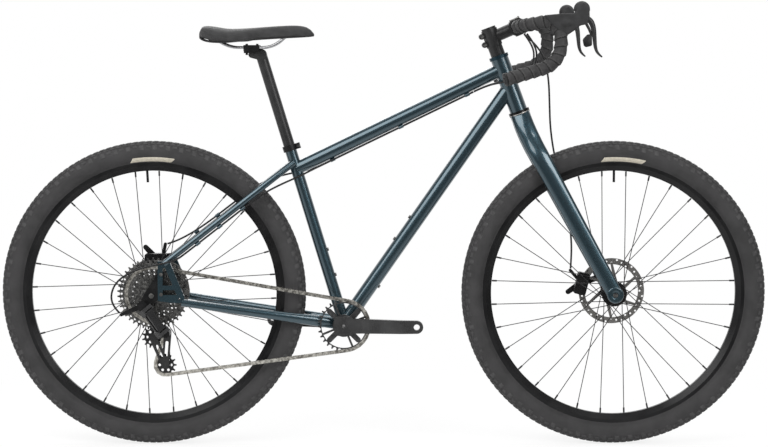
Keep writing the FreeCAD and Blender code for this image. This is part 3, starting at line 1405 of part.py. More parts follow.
def lever_pivot(sign):
    return bar_centre + Vector(size("lever_pivot_reach"), sign * size("hood_offset"),
                               size("lever_pivot_rise"))


def lever_hoods(tape_outside):
    """The hooded lever bodies, slotted for the levers, with the lever pins."""
    half = size("hood_halfwidth")
    length = size("hood_length")
    tall = size("hood_height")
    base = bar_centre + Vector(size("hood_start"), 0, -size("hood_drop"))
    outline = [base + Vector(x * length, 0, z * tall) for x, z in HOOD_SHARES]
    body = extrude(outline, size("hood_offset") - half, 2 * half)
    pivot = lever_pivot(1)
    slot_half = size("lever_halfwidth") + size("lever_side_gap")
    slot = Part.makeBox(length, 2 * slot_half, tall,
                        pivot + Vector(-size("lever_slot_rear"), -slot_half, size("lever_slot_top") - tall))
    body = body.cut(slot).cut(tape_outside)
    body = max(body.Solids, key=lambda solid: solid.Volume)
    pin = rod(pivot - ACROSS * (slot_half + half / 3), pivot + ACROSS * (slot_half + half / 3),
              size("lever_pin_radius"))
    body = union([body, pin])
    feature("lever_hoods", Part.makeCompound([body, mirrored(body)]))


LEVER_SHARES = [(0, 0, 1), (0.42, 0.33, 0.85), (0.62, 0.7, 0.7), (1, 1, 0.5)]


def lever_blade(sign):
    """A brake lever that hangs from its pivot and curves forward to its tip."""
    half = size("lever_halfwidth")
    pivot = lever_pivot(sign)
    spots = []
    for forward, down, slim in LEVER_SHARES:
        spot = pivot + Vector(forward * size("lever_tip_reach"), 0, -down * size("lever_tip_drop"))
        spots.append((spot, slim * size("lever_depth") / 2))
    pieces = []
    for (first, first_radius), (second, second_radius) in zip(spots, spots[1:]):
        pieces.append(link_bar(first, first_radius, second, second_radius, pivot.y - half, 2 * half))
    return pieces, pivot


def paddle_axis(pivot):
    """The foot and heading of the shift paddle's pin, just behind the lever."""
    foot = pivot + Vector(size("paddle_reach"), 0, -size("paddle_drop"))
    heading = Vector(size("lever_tip_reach"), 0, -size("lever_tip_drop"))
    heading.normalize()
    return foot, heading


def levers():
    side = ACROSS * (2 * size("lever_halfwidth"))
    for label, sign in (("left_brake_lever", 1), ("right_brake_lever", -1)):
        pieces, pivot = lever_blade(sign)
        if sign < 0:
            foot, heading = paddle_axis(pivot)
            lug_end = foot + heading * size("paddle_lug_length")
            pieces.append(rod(foot, lug_end, size("paddle_lug_radius")))
        blade = union(pieces)
        blade = blade.cut(rod(pivot - side, pivot + side, size("lever_pin_radius") + fit))
        if sign < 0:
            blade = blade.cut(rod(foot, lug_end, size("paddle_pin_radius") + fit))
            clear = size("paddle_halfwidth") + 4 * size("wide_gap")
            drop = lug_end + heading * (size("paddle_length") * 2)
            blade = blade.cut(rod(lug_end, drop, clear))
            pocket = foot - heading * (size("paddle_pin_radius") + 2 * gap)
            blade = blade.cut(rod(pocket, foot, size("paddle_lug_radius") + gap))
        feature(label, blade)


PADDLE_SHARES = [(0, 0), (1, 0), (1, 0.6), (0.88, 0.94), (0.64, 0.94), (0, 0.32)]


def shift_paddle():
    """The paddle behind the right lever, on a pin that lets it swing inwards."""
    foot, heading = paddle_axis(lever_pivot(-1))
    lug_end = foot + heading * size("paddle_lug_length")
    head = foot - heading * gap
    pin_end = lug_end + heading * (size("paddle_stem") + size("paddle_width") / 2)
    pin = rod(foot - heading * (gap + size("paddle_pin_radius")), pin_end, size("paddle_pin_radius"))
    cap = rod(head, head - heading * size("paddle_pin_radius"), size("paddle_lug_radius"))
    start = lug_end + heading * size("paddle_stem")
    rearward = Vector(heading.z, 0, -heading.x)
    half = size("paddle_halfwidth")
    length = size("paddle_length")
    start += rearward * size("wide_gap")
    corners = [start + heading * (along * length) + rearward * (back * size("paddle_width"))
               for along, back in PADDLE_SHARES]
    blade = extrude(corners, start.y - half, 2 * half)
    feature("shift_paddle", union([pin, cap, blade]))


FORK_LEG = fork()
front_axle_bar()
headset_spacers()
stem()
handlebar()
TAPE_OUTSIDE = bar_tape()
lever_hoods(TAPE_OUTSIDE)
levers()
shift_paddle()


def caliper_place(axle, line, angle):
    """A placement at the pads, with +X outwards along the rotor's radius."""
    centre = turned_place(axle, size("pad_circle_radius"), angle, line)
    return Placement(centre, Rotation(ACROSS, -math.degrees(angle)))


def caliper_body(axle, line, angle, outer):
    """A caliper block over the rotor, slotted for it and bored for the arm's pin."""
    depth = size("caliper_depth")
    half = size("caliper_halflength")
    inner = size("caliper_inner")
    block = Part.makeBox(2 * depth, inner + outer, 2 * half, Vector(-depth, -inner, -half))
    lengthwise = [edge for edge in block.Edges if abs(edge.tangentAt(0).y) > 1 / 2]
    block = block.makeFillet(size("caliper_corner"), lengthwise)
    spot = caliper_place(axle, line, angle)
    block = block.transformGeometry(spot.toMatrix())
    slot = ACROSS * size("caliper_slot")
    middle = axle + ACROSS * line
    room = size("rotor_radius") + size("caliper_slot")
    return block.cut(rod(middle - slot, middle + slot, room))


def caliper_bore(axle, line, angle, outer):
    face = caliper_place(axle, line, angle).Base + ACROSS * outer
    return rod(face - ACROSS * size("brake_pin_length"), face, size("brake_pivot_radius") + fit)


def caliper_arm(label, axle, line, angle, outer, tip):
    """The arm that the cable pulls, on a pin in the caliper."""
    pivot = caliper_place(axle, line, angle).Base
    start = pivot.y + outer + gap
    thick = size("brake_arm_thickness")
    bar = link_bar(pivot, size("brake_boss_radius"), tip, size("brake_arm_radius"), start, thick)
    face = Vector(pivot.x, start, pivot.z)
    pin = rod(face - ACROSS * (size("brake_pin_length") - gap), face, size("brake_pivot_radius"))
    feature(label, union([bar, pin]))


def lug(first, second, radius, start, end):
    return link_bar(first, radius, second, radius, start, end - start)


def post(spot, radius, start, end):
    """A round post across the bike."""
    return rod(Vector(spot.x, start, spot.z), Vector(spot.x, end, spot.z), radius)


rear_pads = math.radians(size("rear_caliper_angle"))
front_pads = math.radians(size("front_caliper_angle"))
rear_outer = plate_face - size("axle_plate_gap") - rear_rotor_line
front_outer = size("front_hub_width") / 2 - gap - front_rotor_line


def calipers(leg):
    """Both calipers, with their mounting lugs, cable stops and arms."""
    radius = size("caliper_lug_radius")
    stop_radius = size("cable_stop_radius")
    route = seatstay_route()
    stay = cord(route, size("seatstay_radius"))
    spot = caliper_place(rear_axle, rear_rotor_line, rear_pads).Base
    high = rear_rotor_line + rear_outer
    mount = between(route[1], route[2], size("rear_lug_share"))
    tower = spot + Vector(size("rear_stop_reach"), 0, size("rear_stop_rise"))
    body = union([
        caliper_body(rear_axle, rear_rotor_line, rear_pads, rear_outer),
        lug(spot + Vector(size("caliper_corner"), 0, size("caliper_corner")), mount, radius,
            high - size("caliper_lug_thickness"), high),
        post(mount, radius, high - size("caliper_lug_thickness"), mount.y),
        lug(spot + Vector(size("caliper_depth"), 0, 0), tower, stop_radius,
            high - 2 * stop_radius, high),
    ])
    body = body.cut(stay).cut(caliper_bore(rear_axle, rear_rotor_line, rear_pads, rear_outer))
    feature("rear_caliper", max(body.Solids, key=lambda solid: solid.Volume))
    tip = spot + Vector(-size("rear_arm_reach"), 0, size("rear_arm_rise"))
    caliper_arm("rear_caliper_arm", rear_axle, rear_rotor_line, rear_pads, rear_outer, tip)

    spot = caliper_place(front_axle, front_rotor_line, front_pads).Base
    high = front_rotor_line + front_outer
    low = front_rotor_line + size("caliper_slot") + size("wide_gap")
    upper = spot + Vector(size("front_upper_lug_reach"), 0, size("front_upper_lug_rise"))
    lower = spot + Vector(size("front_lower_lug_reach"), 0, size("front_lower_lug_rise"))
    tower = spot + Vector(-size("front_stop_reach"), 0, size("front_stop_rise"))
    body = union([
        caliper_body(front_axle, front_rotor_line, front_pads, front_outer),
        lug(spot, upper, radius, low, high),
        lug(spot, lower, radius, low, high),
        post(upper, radius, low, high + size("caliper_lug_thickness")),
        post(lower, radius, low, high + size("caliper_lug_thickness")),
        lug(spot, tower, stop_radius, high - 2 * stop_radius, high),
    ])
    body = body.cut(leg).cut(caliper_bore(front_axle, front_rotor_line, front_pads, front_outer))
    feature("front_caliper", max(body.Solids, key=lambda solid: solid.Volume))
    tip = spot + Vector(-size("front_arm_reach"), 0, -size("front_arm_drop"))
    caliper_arm("front_caliper_arm", front_axle, front_rotor_line, front_pads, front_outer, tip)


post_top = seat_top + seat_axis * size("post_exposed")
clamp_centre = post_top + Vector(-size("clamp_setback"), 0, size("clamp_rise"))
saddle_tail = crank_centre + Vector(-size("saddle_tail_reach"), 0, size("saddle_top_rise"))

# Along the saddle: reach, half width, top and underside, as shares of its sizes
SADDLE_SHARES = [
    (0, 0.36, -0.2, -0.66), (0.05, 0.78, -0.04, -0.9), (0.17, 1, 0, -1), (0.36, 0.84, -0.12, -0.9),
    (0.55, 0.5, -0.15, -0.8), (0.75, 0.33, -0.02, -0.72), (0.92, 0.26, 0.07, -0.66),
    (1, 0.14, -0.08, -0.6),
]


def saddle_section(x, half, top, low, narrow):
    """A closed section across the saddle: flat below, drawn in at the sides, crowned."""
    rise = top - low
    foot_left = Vector(x, -half * narrow, low)
    foot_right = Vector(x, half * narrow, low)
    side_share = 0.45
    shoulder_share = 0.8
    brow_share = 0.72
    right = Vector(x, half, low + rise * side_share)
    left = Vector(x, -half, low + rise * side_share)
    brow_right = Vector(x, half * brow_share, low + rise * shoulder_share)
    brow_left = Vector(x, -half * brow_share, low + rise * shoulder_share)
    edges = [
        Part.makeLine(foot_left, foot_right),
        Part.Arc(foot_right, right, brow_right).toShape(),
        Part.Arc(brow_right, Vector(x, 0, top), brow_left).toShape(),
        Part.Arc(brow_left, left, foot_left).toShape(),
    ]
    return Part.Wire(edges)


def saddle():
    """The pad, the shell under it and the rails."""
    length = size("saddle_length")
    tall = size("saddle_height")
    base = size("base_thickness")
    narrow_share = 0.86
    pad_sections = []
    base_sections = []
    for along, wide, top, low in SADDLE_SHARES:
        x = saddle_tail.x + along * length
        half = wide * size("saddle_halfwidth")
        foot = saddle_tail.z + low * tall
        pad_low = foot + base + size("wide_gap")
        pad_sections.append(saddle_section(x, half, saddle_tail.z + top * tall, pad_low, narrow_share))
        edge = half * narrow_share
        corners = [Vector(x, -edge, foot), Vector(x, edge, foot), Vector(x, edge, foot + base),
                   Vector(x, -edge, foot + base)]
        base_sections.append(Part.makePolygon(corners + corners[:1]))
    pad = Part.makeLoft(pad_sections, True, False)
    shell = Part.makeLoft(base_sections, True, False)
    feature("saddle_pad", pad)
    feature("saddle_base", shell)
    span = size("rail_halfspan")
    level = clamp_centre.z
    rear_end = Vector(saddle_tail.x + size("rail_tail"), size("rail_tail_halfspan"),
                      level + size("rail_tail_rise"))
    front_end = Vector(saddle_tail.x + size("rail_nose"), size("rail_nose_halfspan"),
                       level + size("rail_nose_rise"))
    route = [rear_end, Vector(saddle_tail.x + size("rail_straight_rear"), span, level),
             Vector(saddle_tail.x + size("rail_straight_front"), span, level), front_end]
    rail = cord(route, size("rail_radius"))
    cutters = [shell, pad]
    for blank in cutters:
        rail = rail.cut(blank)
    rail = max(rail.Solids, key=lambda solid: solid.Volume)
    feature("saddle_rails", Part.makeCompound([rail, mirrored(rail)]))


def seatpost():
    """The post with its set-back head, and the clamp that grips the rails."""
    radius = size("post_radius")
    foot = seat_top - seat_axis * size("post_insert")
    half = size("clamp_halfwidth")
    long = size("clamp_halflength")
    tall = size("clamp_height")
    rails = [rod(clamp_centre + Vector(-2 * long, sign * size("rail_halfspan"), 0),
                 clamp_centre + Vector(2 * long, sign * size("rail_halfspan"), 0),
                 size("rail_radius") + fit) for sign in (1, -1)]
    lower = Part.makeBox(2 * long, 2 * half, tall, clamp_centre - Vector(long, half, tall))
    upper = Part.makeBox(2 * long, 2 * half, tall * 2 / 3, clamp_centre - Vector(long, half, 0))
    lower_grip = lower
    upper_grip = upper.cut(Part.makeBox(2 * long, 2 * half, fit, clamp_centre - Vector(long, half, 0)))
    for rail in rails:
        lower_grip = lower_grip.cut(rail)
        upper_grip = upper_grip.cut(rail)
    bolts = []
    for sign in (1, -1):
        spot = clamp_centre + Vector(sign * long * 2 / 3, 0, -2 * tall)
        shank = rod(spot, spot + UP * (3 * tall), size("clamp_bolt_radius"))
        hole = rod(spot, spot + UP * (3 * tall), size("clamp_bolt_radius") + fit)
        lower_grip = lower_grip.cut(hole)
        upper_grip = upper_grip.cut(hole)
        bolts.append(shank)
    feature("saddle_clamp", Part.makeCompound([lower_grip, upper_grip] + bolts))
    head_foot = clamp_centre - UP * (tall + size("post_head_radius"))
    head = link_bar(post_top, radius, head_foot, size("post_head_radius"), -radius, 2 * radius)
    cradle = Part.makeBox(2 * long, 2 * radius, tall / 2,
                          clamp_centre - Vector(long, radius, tall * 3 / 2))
    post = union([rod(foot, post_top, radius), head, cradle])
    post = post.cut(rod(foot, post_top - seat_axis * radius, radius - size("post_wall")))
    for shank in bolts:
        centre = shank.CenterOfMass
        low = Vector(centre.x, centre.y, centre.z - 3 * tall)
        post = post.cut(rod(low, low + UP * (6 * tall), size("clamp_bolt_radius") + fit))
    post = post.cut(lower)
    feature("seatpost", max(post.Solids, key=lambda solid: solid.Volume))


collar_bolt_spot = (seat_top - seat_axis * (size("collar_height") / 2)
                    + seat_front * (size("collar_radius") + size("collar_lug") / 2))


def seat_collar():
    """A split collar on the seat tube's top, with its lug in front."""
    foot = seat_top - seat_axis * size("collar_height")
    ring = rod(foot, seat_top, size("collar_radius"))
    width = 2 * size("collar_lug")
    lug_box = Part.makeBox(size("collar_radius") + size("collar_lug"), width, size("collar_height"))
    lug_box.Placement = Placement(foot - ACROSS * (width / 2),
                                  Rotation(seat_front, ACROSS, seat_axis, "XYZ"))
    body = union([ring, lug_box]).cut(rod(foot, seat_top, size("seat_tube_radius") + fit))
    split = Part.makeBox(2 * width, size("faceplate_gap"), size("collar_height"))
    split.Placement = Placement(foot - ACROSS * (size("faceplate_gap") / 2),
                                Rotation(seat_front, ACROSS, seat_axis, "XYZ"))
    body = body.cut(split)
    side = ACROSS * (2 * width)
    body = body.cut(rod(collar_bolt_spot - side, collar_bolt_spot + side,
                        size("collar_bolt_radius") + fit))
    feature("seat_collar", body)


BOTTLE_SPOTS = [("seat_bolt_low", "seat", 1), ("seat_bolt_high", "seat", 1),
                ("down_bolt_low", "down", 1), ("down_bolt_high", "down", 1),
                ("under_bolt", "down", -1)]


def frame_bolts():
    """Bottle bolts, axle plate bolts and the seat collar's bolt."""
    down_axis = down_tube_front - crank_centre
    down_axis.normalize()
    down_back = Vector(-down_axis.z, 0, down_axis.x)
    height = size("bolt_head_height")
    head = size("bolt_head_radius")
    solids = []
    for alias, tube_name, side in BOTTLE_SPOTS:
        axis = seat_axis if tube_name == "seat" else down_axis
        outward = (seat_front if tube_name == "seat" else down_back) * side
        seat = crank_centre + axis * size(alias) + outward * size(tube_name + "_tube_radius")
        solids.append(rod(seat, seat + outward * height, head))
    for sign in (1, -1):
        face = ACROSS * (sign * dropout_end)
        for shank, spot in zip(side_bolts(size("plate_bolt_radius"), sign), plate_bolts):
            cap = rod(spot + face, spot + face + ACROSS * (sign * height), head)
            solids.append(union([shank, cap]))
    half = ACROSS * size("collar_lug")
    pin = rod(collar_bolt_spot - half, collar_bolt_spot + half, size("collar_bolt_radius"))
    cap = rod(collar_bolt_spot - half, collar_bolt_spot - half - ACROSS * height, head)
    solids.append(union([pin, cap]))
    feature("frame_bolts", Part.makeCompound(solids))


seat_collar()
seatpost()
saddle()
calipers(FORK_LEG)
frame_bolts()


guide_radius = size("housing_radius") + size("guide_wall")
top_tube_axis = top_tube_front - top_tube_rear
top_tube_axis.normalize()
top_tube_under = Vector(top_tube_axis.z, 0, -top_tube_axis.x)
spread = size("housing_spread")
under_reach = math.sqrt((size("top_tube_radius") + guide_radius) ** 2 - spread ** 2)


def under_top_tube(share, sign):
    """A place on a housing's line under the top tube."""
    spot = between(top_tube_rear, top_tube_front, share)
    return spot + top_tube_under * under_reach + ACROSS * (sign * spread)


def by_seatstay(share, sign, above):
    """A place on a housing's line along a seatstay, above or below it."""
    route = seatstay_route()
    axis = route[2] - route[1]
    axis.normalize()
    outward = UP * above - axis * (UP.dot(axis) * above)
    outward.normalize()
    spot = between(route[1], route[2], share) + outward * (size("seatstay_radius") + guide_radius)
    return Vector(spot.x, spot.y * sign, spot.z)


TOP_TUBE_GUIDE_SHARES = (0.81, 0.49, 0.16)
STAY_GUIDE_SHARES = (0.27, 0.49, 0.7)
STAY_JOIN_SHARE = 0.135
SHIFT_LEAVE_SHARE = 0.84
BRAKE_LEAVE_SHARE = 0.8
HOUSING_START_SHARE = 0.84
HOUSING_END_SHARE = 0.11
LOOP_END_SHARE = 0.9

# Routes between the guides, chosen by hand, as steps from the rear axle or the front axle
SHIFT_BEND = [(388, -14, 301), (354, -27, 284), (316, -37, 268), (281, -43, 251)]
SHIFT_LOOP = [(62, -86, 88), (31, -94, 79), (-10, -97, 72), (-52, -96, 57), (-83, -93, 34),
              (-96, -90, 3), (-90, -87, -25)]
BRAKE_BEND = [(388, 16, 301), (353, 36, 291), (316, 54, 284), (276, 61, 271)]
FRONT_BRAKE = [(-215, 60, 625), (-185, 61, 600), (-163, 61, 562), (-154, 61, 512),
               (-152, 61, 457), (-150, 62, 400), (-142, 65, 344), (-129, 68, 288),
               (-115, 70, 234), (-103, 70, 180), (-97, 66, 132), (-96, 57, 92)]
STEER_LOOP = [(-215, 53, 625), (-194, 50, 598), (-190, 47, 563), (-206, 43, 534),
              (-238, 38, 514), (-274, 27, 509)]


def route_points(axle, rows, sign=1):
    """The places of a route that is given in steps from an axle."""
    return [axle + Vector(x, y * sign, z) for x, y, z in rows]


def stop_end(stop, last):
    """Where a housing that comes from its last route point meets a round stop."""
    heading = last - stop
    heading.normalize()
    return stop + heading * (size("cable_stop_radius") + size("housing_radius") / 2)


def ring_about(start, heading):
    """A short guide tube round a housing."""
    half = heading * (size("guide_length") / 2)
    return tube(start - half, start + half, guide_radius, size("housing_radius") + fit)


def cable_guides():
    guides = []
    for sign in (1, -1):
        for share in TOP_TUBE_GUIDE_SHARES:
            guides.append(ring_about(under_top_tube(share, sign), top_tube_axis))
        above = sign
        for share in STAY_GUIDE_SHARES:
            heading = by_seatstay(1, sign, above) - by_seatstay(0, sign, above)
            heading.normalize()
            guides.append(ring_about(by_seatstay(share, sign, above), heading))
    feature("cable_guides", Part.makeCompound(guides))


def frame_cables():
    """The shift housing on the right and the rear brake housing on the left."""
    radius = size("housing_radius")
    stop = cable_stop_place()
    shift = [under_top_tube(HOUSING_START_SHARE, -1), under_top_tube(HOUSING_END_SHARE, -1)]
    shift += route_points(rear_axle, SHIFT_BEND)
    shift += [by_seatstay(STAY_JOIN_SHARE, -1, -1), by_seatstay(SHIFT_LEAVE_SHARE, -1, -1)]
    shift += route_points(rear_axle, SHIFT_LOOP)
    shift.append(stop_end(stop, shift[-1]))
    brake = [under_top_tube(HOUSING_START_SHARE, 1), under_top_tube(HOUSING_END_SHARE, 1)]
    brake += route_points(rear_axle, BRAKE_BEND)
    brake += [by_seatstay(STAY_JOIN_SHARE, 1, 1), by_seatstay(BRAKE_LEAVE_SHARE, 1, 1)]
    spot = caliper_place(rear_axle, rear_rotor_line, rear_pads).Base
    tower = spot + Vector(size("rear_stop_reach"), 0, size("rear_stop_rise"))
    tower.y = rear_rotor_line + rear_outer - size("cable_stop_radius")
    brake.append(stop_end(tower, brake[-1]))
    housings = [cord(shift, radius, "shift housing"), cord(brake, radius, "rear brake housing")]
    feature("frame_cables", Part.makeCompound(housings))


def steering_cables():
    """The two housings that loop from the bar to the first guide on the frame."""
    loops = []
    for sign, name in ((1, "left loop"), (-1, "right loop")):
        points = route_points(front_axle, STEER_LOOP, sign)
        points += [under_top_tube(LOOP_END_SHARE, sign), under_top_tube(HOUSING_START_SHARE, sign)]
        loops.append(cord(points, size("housing_radius"), name))
    feature("steering_cables", Part.makeCompound(loops))
    spot = caliper_place(front_axle, front_rotor_line, front_pads).Base
    stop = spot + Vector(-size("front_stop_reach"), 0, size("front_stop_rise"))
    stop.y = front_rotor_line + front_outer - size("cable_stop_radius")
    points = route_points(front_axle, FRONT_BRAKE)
    points.append(stop_end(stop, points[-1]))
    feature("front_brake_housing", cord(points, size("housing_radius"), "front brake housing"))


cable_guides()
frame_cables()
steering_cables()


def check_and_write():
    """Check every object, then write one file for each sub-part."""
    doc.recompute()
    for item in doc.Objects:
        if "Invalid" in item.State or "Error" in item.State:
            raise RuntimeError(f"{item.Label} is {item.State}")
    for label, item in NODES.items():
        shape = item.Shape
        if shape.isNull() or not shape.isValid() or not shape.Solids:
            raise RuntimeError(f"{label} has no valid shape")
    os.makedirs("parts", exist_ok=True)
    for label, item in NODES.items():
        item.Shape.exportStep(f"parts/{label}.step")
    print(len(NODES), "sub-parts written")


check_and_write()
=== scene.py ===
import math

import bmesh
import bpy
from mathutils import Matrix, Vector


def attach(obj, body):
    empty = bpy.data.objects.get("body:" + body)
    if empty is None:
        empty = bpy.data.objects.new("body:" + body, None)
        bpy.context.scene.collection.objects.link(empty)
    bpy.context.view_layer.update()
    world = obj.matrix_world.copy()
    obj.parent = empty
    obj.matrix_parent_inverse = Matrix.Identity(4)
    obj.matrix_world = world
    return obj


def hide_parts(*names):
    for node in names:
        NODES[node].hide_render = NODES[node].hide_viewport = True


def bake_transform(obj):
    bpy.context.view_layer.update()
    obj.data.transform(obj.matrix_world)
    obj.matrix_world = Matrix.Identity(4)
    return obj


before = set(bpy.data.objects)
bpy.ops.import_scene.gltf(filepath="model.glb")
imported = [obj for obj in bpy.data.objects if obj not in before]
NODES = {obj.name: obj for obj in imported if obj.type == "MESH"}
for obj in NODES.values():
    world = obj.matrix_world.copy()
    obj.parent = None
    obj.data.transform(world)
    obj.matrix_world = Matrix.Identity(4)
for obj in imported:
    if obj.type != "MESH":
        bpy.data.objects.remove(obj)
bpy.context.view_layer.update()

REAR_AXLE = Vector((-0.556, 0, 0.368))
FRONT_AXLE = Vector((0.556, 0, 0.368))
LEVER_PIVOT = Vector((0.46017, 0.216, 1.02992))
HEAD_LOW = Vector((0.32825, 0, 0.80010))
STEER_AXIS = Vector((-0.350207, 0, 0.936672))
STEER_FRONT = Vector((0.936672, 0, 0.350207))
FULL_TURN = 2 * math.pi


# Materials

def blank(name):
    mat = bpy.data.materials.new(name)
    mat.use_nodes = True
    return mat, mat.node_tree.nodes, mat.node_tree.links


def set_sockets(shader, **sockets):
    """Sets a shader's sockets; an underscore stands for a space in a socket's name."""
    for key, value in sockets.items():
        shader.inputs[key.replace("_", " ")].default_value = value


def place(nodes, links, scale=(1, 1, 1)):
    """Coordinates in the bike's own frame."""
    coords = nodes.new("ShaderNodeTexCoord")
    mapping = nodes.new("ShaderNodeMapping")
    mapping.inputs["Scale"].default_value = scale
    links.new(coords.outputs["Object"], mapping.inputs["Vector"])
    return mapping.outputs["Vector"]


def calc(nodes, links, operation, *sources):
    """A math node fed by sockets or plain numbers."""
    node = nodes.new("ShaderNodeMath")
    node.operation = operation
    for socket, source in zip(node.inputs, sources):
        if isinstance(source, bpy.types.NodeSocket):
            links.new(source, socket)
        else:
            socket.default_value = source
    return node.outputs["Value"]


def vector(nodes, links, operation, source, other=None):
    """A vector math node; a length or dot product gives a value, the rest a vector."""
    node = nodes.new("ShaderNodeVectorMath")
    node.operation = operation
    links.new(source, node.inputs[0])
    if other is not None:
        node.inputs[1].default_value = other
    return node.outputs["Value" if operation in ("LENGTH", "DOT_PRODUCT") else "Vector"]


def ramp(nodes, links, source, low, high, start=0.35, end=0.65):
    """A colour that runs from low to high between two values of its source."""
    node = nodes.new("ShaderNodeValToRGB")
    for stop, position, colour in zip(node.color_ramp.elements, (start, end), (low, high)):
        stop.position = position
        stop.color = (*colour, 1)
    links.new(source, node.inputs["Fac"])
    return node.outputs["Color"]


def spread(nodes, links, source, low, high, start=0.3, end=0.7):
    """A value that runs from low to high between two values of its source."""
    node = nodes.new("ShaderNodeMapRange")
    set_sockets(node, From_Min=start, From_Max=end, To_Min=low, To_Max=high)
    links.new(source, node.inputs["Value"])
    return node.outputs["Result"]


def bump(nodes, links, height, strength, distance):
    node = nodes.new("ShaderNodeBump")
    set_sockets(node, Strength=strength, Distance=distance)
    links.new(height, node.inputs["Height"])
    return node.outputs["Normal"]


def noise(nodes, links, where, scale, detail=3.0):
    node = nodes.new("ShaderNodeTexNoise")
    set_sockets(node, Scale=scale, Detail=detail)
    links.new(where, node.inputs["Vector"])
    return node.outputs["Fac"]


def cells(nodes, links, where, scale):
    """Small cells, each with a distance from its middle and a colour of its own."""
    node = nodes.new("ShaderNodeTexVoronoi")
    set_sockets(node, Scale=scale)
    links.new(where, node.inputs["Vector"])
    return node.outputs


def surface(name, low, high, rough=(0.4, 0.5), metal=0.0, mottle=60, grain=900, depth=0.00012,
            strength=0.25, cell=False, **sockets):
    """A material with mottled colour and roughness and a fine grain."""
    mat, nodes, links = blank(name)
    shader = nodes["Principled BSDF"]
    where = place(nodes, links)
    broad = noise(nodes, links, where, mottle, detail=4.0)
    links.new(ramp(nodes, links, broad, low, high), shader.inputs["Base Color"])
    links.new(spread(nodes, links, broad, *rough), shader.inputs["Roughness"])
    if cell:
        fine = cells(nodes, links, where, grain)["Distance"]
    else:
        fine = noise(nodes, links, where, grain)
    links.new(bump(nodes, links, fine, strength, depth), shader.inputs["Normal"])
    set_sockets(shader, Metallic=metal, **sockets)
    return mat


PAINT_DARK, PAINT_LIGHT = (0.029, 0.058, 0.074), (0.037, 0.072, 0.091)
FLAKE_SCALE = 1800


def paint():
    """Dark blue-green metallic paint under a clear coat."""
    mat, nodes, links = blank("frame_paint_gloss")
    shader = nodes["Principled BSDF"]
    flakes = cells(nodes, links, place(nodes, links), FLAKE_SCALE)
    split = nodes.new("ShaderNodeSeparateColor")
    links.new(flakes["Color"], split.inputs["Color"])
    colour = ramp(nodes, links, split.outputs["Red"], PAINT_DARK, PAINT_LIGHT, 0.0, 1.0)
    rough = spread(nodes, links, split.outputs["Green"], 0.27, 0.33, 0.0, 1.0)
    links.new(colour, shader.inputs["Base Color"])
    links.new(rough, shader.inputs["Roughness"])
    set_sockets(shader, Metallic=0.85, Specular_IOR_Level=0.3, Coat_Weight=1.0, Coat_Roughness=0.06,
                Coat_IOR=1.55)
    return mat


ROTOR_BLACK, ROTOR_STEEL = (0.02, 0.02, 0.021), (0.44, 0.43, 0.41)
BLACK_ROUGH, STEEL_ROUGH = 0.42, 0.26
MARKS_SCALE = 2600
EDGE_BLUR = 0.0002


def rotor_steel(name, axle, edge):
    """A black middle and a steel rim, split at a radius about the axle, with turning marks."""
    mat, nodes, links = blank(name)
    shader = nodes["Principled BSDF"]
    offset = vector(nodes, links, "SUBTRACT", place(nodes, links), axle)
    radius = vector(nodes, links, "LENGTH", vector(nodes, links, "MULTIPLY", offset, (1, 0, 1)))
    step = spread(nodes, links, radius, 0.0, 1.0, edge - EDGE_BLUR, edge + EDGE_BLUR)
    turning = nodes.new("ShaderNodeTexNoise")
    turning.noise_dimensions = "1D"
    turning.inputs["Scale"].default_value = MARKS_SCALE
    links.new(radius, turning.inputs["W"])
    marks = turning.outputs["Fac"]
    colour = nodes.new("ShaderNodeMix")
    colour.data_type = "RGBA"
    links.new(step, colour.inputs["Factor"])
    inside = ramp(nodes, links, marks, [0.8 * c for c in ROTOR_BLACK], ROTOR_BLACK)
    outside = ramp(nodes, links, marks, [0.72 * c for c in ROTOR_STEEL], ROTOR_STEEL)
    links.new(inside, colour.inputs["A"])
    links.new(outside, colour.inputs["B"])
    rough = spread(nodes, links, step, BLACK_ROUGH, STEEL_ROUGH, 0.0, 1.0)
    links.new(colour.outputs["Result"], shader.inputs["Base Color"])
    links.new(rough, shader.inputs["Roughness"])
    links.new(bump(nodes, links, marks, 0.2, 0.0001), shader.inputs["Normal"])
    set_sockets(shader, Metallic=0.9)
    return mat


CUP_BLACK, CUP_RING = (0.009, 0.009, 0.009, 1), (0.40, 0.39, 0.37, 1)
CUP_PAINT = (0.014, 0.033, 0.045, 1)
CUP_FROM, CUP_TO = -0.0002, 0.0102


def headset_cups():
    """Black cups, with a thin bright ring on the lower one and the frame's colour on the upper."""
    mat, nodes, links = blank("headset_and_shell_cups")
    shader = nodes["Principled BSDF"]
    where = place(nodes, links)
    rise = vector(nodes, links, "DOT_PRODUCT", vector(nodes, links, "SUBTRACT", where, HEAD_LOW),
                  STEER_AXIS)
    bands = nodes.new("ShaderNodeValToRGB")
    bands.color_ramp.interpolation = "CONSTANT"
    stops = bands.color_ramp.elements
    stops[0].position, stops[1].position = 0.0, 0.12
    stops[0].color, stops[1].color = CUP_BLACK, CUP_RING
    for spot, colour in ((0.32, CUP_BLACK), (0.99, CUP_PAINT)):
        stops.new(spot).color = colour
    links.new(spread(nodes, links, rise, 0.0, 1.0, CUP_FROM, CUP_TO), bands.inputs["Fac"])
    links.new(bands.outputs["Color"], shader.inputs["Base Color"])
    fine = noise(nodes, links, where, 900)
    links.new(spread(nodes, links, fine, 0.26, 0.36), shader.inputs["Roughness"])
    set_sockets(shader, Metallic=0.6, Specular_IOR_Level=0.3)
    return mat


